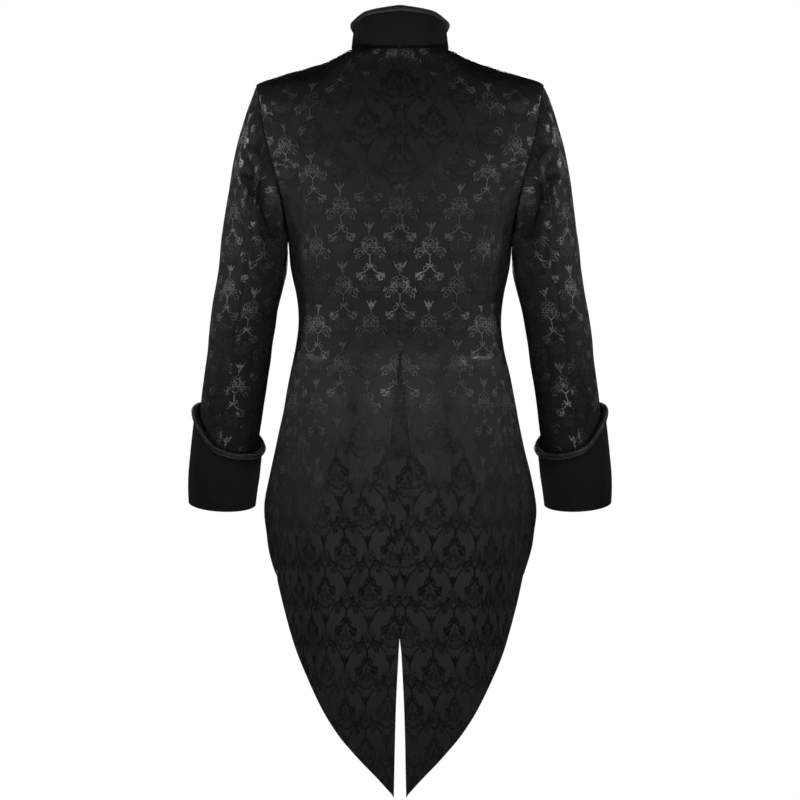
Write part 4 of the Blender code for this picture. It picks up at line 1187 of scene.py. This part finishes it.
class TAILCOAT_OT_buttons(bpy.types.Operator):
    """Domed shank buttons and their worked buttonholes on the lapped front"""
    bl_idname = "tailcoat.buttons"
    bl_label = "Buttons"

    def execute(self, context):
        places = {number: button_place(f"button_{number}") for number in BUTTON_NUMBERS}
        _, _, radius, height = places[1]
        bpy.ops.object.select_all(action="DESELECT")
        bpy.ops.mesh.primitive_circle_add(
            vertices=settings().trim.button_sides, radius=radius * BUTTON_RINGS[0][1],
            fill_type="NGON")
        pattern = bpy.context.object
        bpy.ops.object.mode_set(mode="EDIT")
        bpy.ops.mesh.select_all(action="SELECT")
        bpy.ops.mesh.normals_make_consistent(inside=False)
        for (low, inner), (level, share) in zip(BUTTON_RINGS[:-1], BUTTON_RINGS[1:]):
            bpy.ops.mesh.extrude_region_move(
                TRANSFORM_OT_translate={"value": (0.0, 0.0, (level - low) * height)})
            bpy.ops.transform.resize(value=(share / inner, share / inner, 1.0))
        bpy.ops.mesh.select_all(action="SELECT")
        bpy.ops.mesh.normals_make_consistent(inside=False)
        bpy.ops.object.mode_set(mode="OBJECT")
        bpy.ops.object.shade_smooth_by_angle(angle=math.radians(BUTTON_BEND))
        pattern.data.materials.append(made_of("black_button", button_black))
        for number, (place, out, _, _) in places.items():
            item = put(f"button_dome_{number}", pattern.data.copy())
            item.data.transform(seat_matrix(place, out))
            finish_piece(item, "button", f"button_{number}")
            self.add_hole(number, place, out)
        bpy.data.objects.remove(pattern)
        return {"FINISHED"}

    def add_hole(self, number, place, out):
        """A worked buttonhole: a long ring of thread that lies on the front under the button."""
        bpy.ops.object.select_all(action="DESELECT")
        bpy.ops.mesh.primitive_torus_add(
            major_segments=HOLE_SIDES, minor_segments=THREAD_SIDES, location=(0.0, 0.0, 0.0),
            major_radius=settings().trim.hole_length / 2, minor_radius=HOLE_THREAD)
        item = bpy.context.object
        item.name = f"buttonhole_{number}"
        bpy.ops.object.mode_set(mode="EDIT")
        bpy.ops.mesh.select_all(action="SELECT")
        bpy.ops.transform.resize(value=(1.0, HOLE_NARROWNESS, 1.0))
        bpy.ops.object.mode_set(mode="OBJECT")
        mesh = item.data
        points = np.empty(len(mesh.vertices) * 3)
        mesh.vertices.foreach_get("co", points)
        points = points.reshape(-1, 3)
        stitch = np.cos(2 * math.pi * points[:, 0] / STITCH)
        points[:, 1] += STITCH_DEPTH * stitch * np.sign(points[:, 1])
        points[:, 2] = HOLE_FLATNESS * points[:, 2] - CHEST_CURVE * points[:, 0] ** 2
        mesh.vertices.foreach_set("co", points.reshape(-1))
        layer = mesh.uv_layers[0]
        layer.name = "cloth"
        flat = points[:, :2][[loop.vertex_index for loop in mesh.loops]]
        layer.data.foreach_set("uv", flat.astype(np.float32).reshape(-1))
        mesh.materials.append(made_of("black_thread", thread, *HOLE_TWIST))
        mesh.shade_smooth()
        mesh.transform(seat_matrix(place + Vector(HOLE_SHIFT) + out * HOLE_LIFT, out))
        finish_piece(item, "braid")


def pointing(place, target):
    """Rotation that turns a light or camera at a place to a target."""
    return (Vector(target) - Vector(place)).to_track_quat("-Z", "Y").to_euler()


def add_light(name, place, target, width, height, spread, power):
    """A soft rectangular light."""
    data = bpy.data.lights.new(name, "AREA")
    data.shape = "RECTANGLE"
    data.size = width
    data.size_y = height
    data.spread = math.radians(spread)
    data.energy = power
    light = put(name, data)
    light.location = place
    light.rotation_euler = pointing(place, target)
    light.visible_camera = False


class TAILCOAT_OT_studio(bpy.types.Operator):
    """Pale floor, soft lights and the camera behind the coat"""
    bl_idname = "tailcoat.studio"
    bl_label = "Studio"

    def execute(self, context):
        studio = settings().studio
        scene = bpy.context.scene
        scene.view_settings.view_transform = "Standard"
        bpy.ops.object.select_all(action="DESELECT")
        bpy.ops.mesh.primitive_circle_add(
            vertices=FLOOR_SIDES, radius=FLOOR_RADIUS, fill_type="NGON",
            location=(0.0, 0.0, studio.floor))
        floor = bpy.context.object
        floor.name = "floor"
        floor.data.materials.append(made_of("pale_floor", pale_floor))
        bpy.ops.object.transform_apply(location=True)
        camera_data = bpy.data.cameras.new("camera")
        camera_data.sensor_width = SENSOR
        camera_data.lens = SENSOR * studio.distance / studio.frame_size
        camera_data.clip_end = VIEW_END
        camera = put("camera", camera_data)
        camera.location = (0.0, studio.distance, studio.height)
        camera.rotation_euler = pointing(camera.location, (0.0, 0.0, studio.height))
        scene.camera = camera
        for name, place, target, *shape in MIDDLE_LIGHTS:
            add_light(f"light_{name}", place, target, *shape, getattr(studio, name))
        for side, mirror in SIDES:
            for name, place, target, *shape in SIDE_LIGHTS:
                place, target = mirrored((place, target), mirror)
                add_light(f"light_{name}_{side}", place, target, *shape, getattr(studio, name))
        scene.world = bpy.data.worlds.new("room")
        scene.world.use_nodes = True
        room = Graph(scene.world.node_tree)
        seen = room.add("ShaderNodeLightPath")
        room.feed(room.tree.nodes["Background"], {
            "Strength": room.blend(seen, studio.room, 1.0), "Color": (1.0, 1.0, 1.0, 1.0)})
        return {"FINISHED"}


class TAILCOAT_PT_panel(bpy.types.Panel):
    """Buttons that build the coat, in the sidebar"""
    bl_label = "Tailcoat"
    bl_idname = "TAILCOAT_PT_panel"
    bl_space_type = "VIEW_3D"
    bl_region_type = "UI"
    bl_category = "Tailcoat"

    def draw(self, context):
        for operator in OPERATORS:
            self.layout.operator(operator.bl_idname)
        for group in ("cloth", "trim", "colours", "studio"):
            box = self.layout.box()
            values = getattr(context.scene.tailcoat, group)
            for name in values.__annotations__:
                box.prop(values, name)


OPERATORS = (
    TAILCOAT_OT_body, TAILCOAT_OT_sleeves, TAILCOAT_OT_collar, TAILCOAT_OT_cuffs,
    TAILCOAT_OT_buttons, TAILCOAT_OT_studio,
)
CLASSES = (
    TailcoatCloth, TailcoatTrim, TailcoatColours, TailcoatStudio, TailcoatSettings,
    *OPERATORS, TAILCOAT_PT_panel,
)


def register():
    for item in CLASSES:
        bpy.utils.register_class(item)
    bpy.types.Scene.tailcoat = PointerProperty(type=TailcoatSettings)


def unregister():
    del bpy.types.Scene.tailcoat
    for item in reversed(CLASSES):
        bpy.utils.unregister_class(item)


def main():
    register()
    bpy.ops.tailcoat.body()
    bpy.ops.tailcoat.sleeves()
    bpy.ops.tailcoat.collar()
    bpy.ops.tailcoat.cuffs()
    bpy.ops.tailcoat.buttons()
    bpy.ops.tailcoat.studio()
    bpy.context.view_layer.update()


if __name__ == "__main__":
    main()
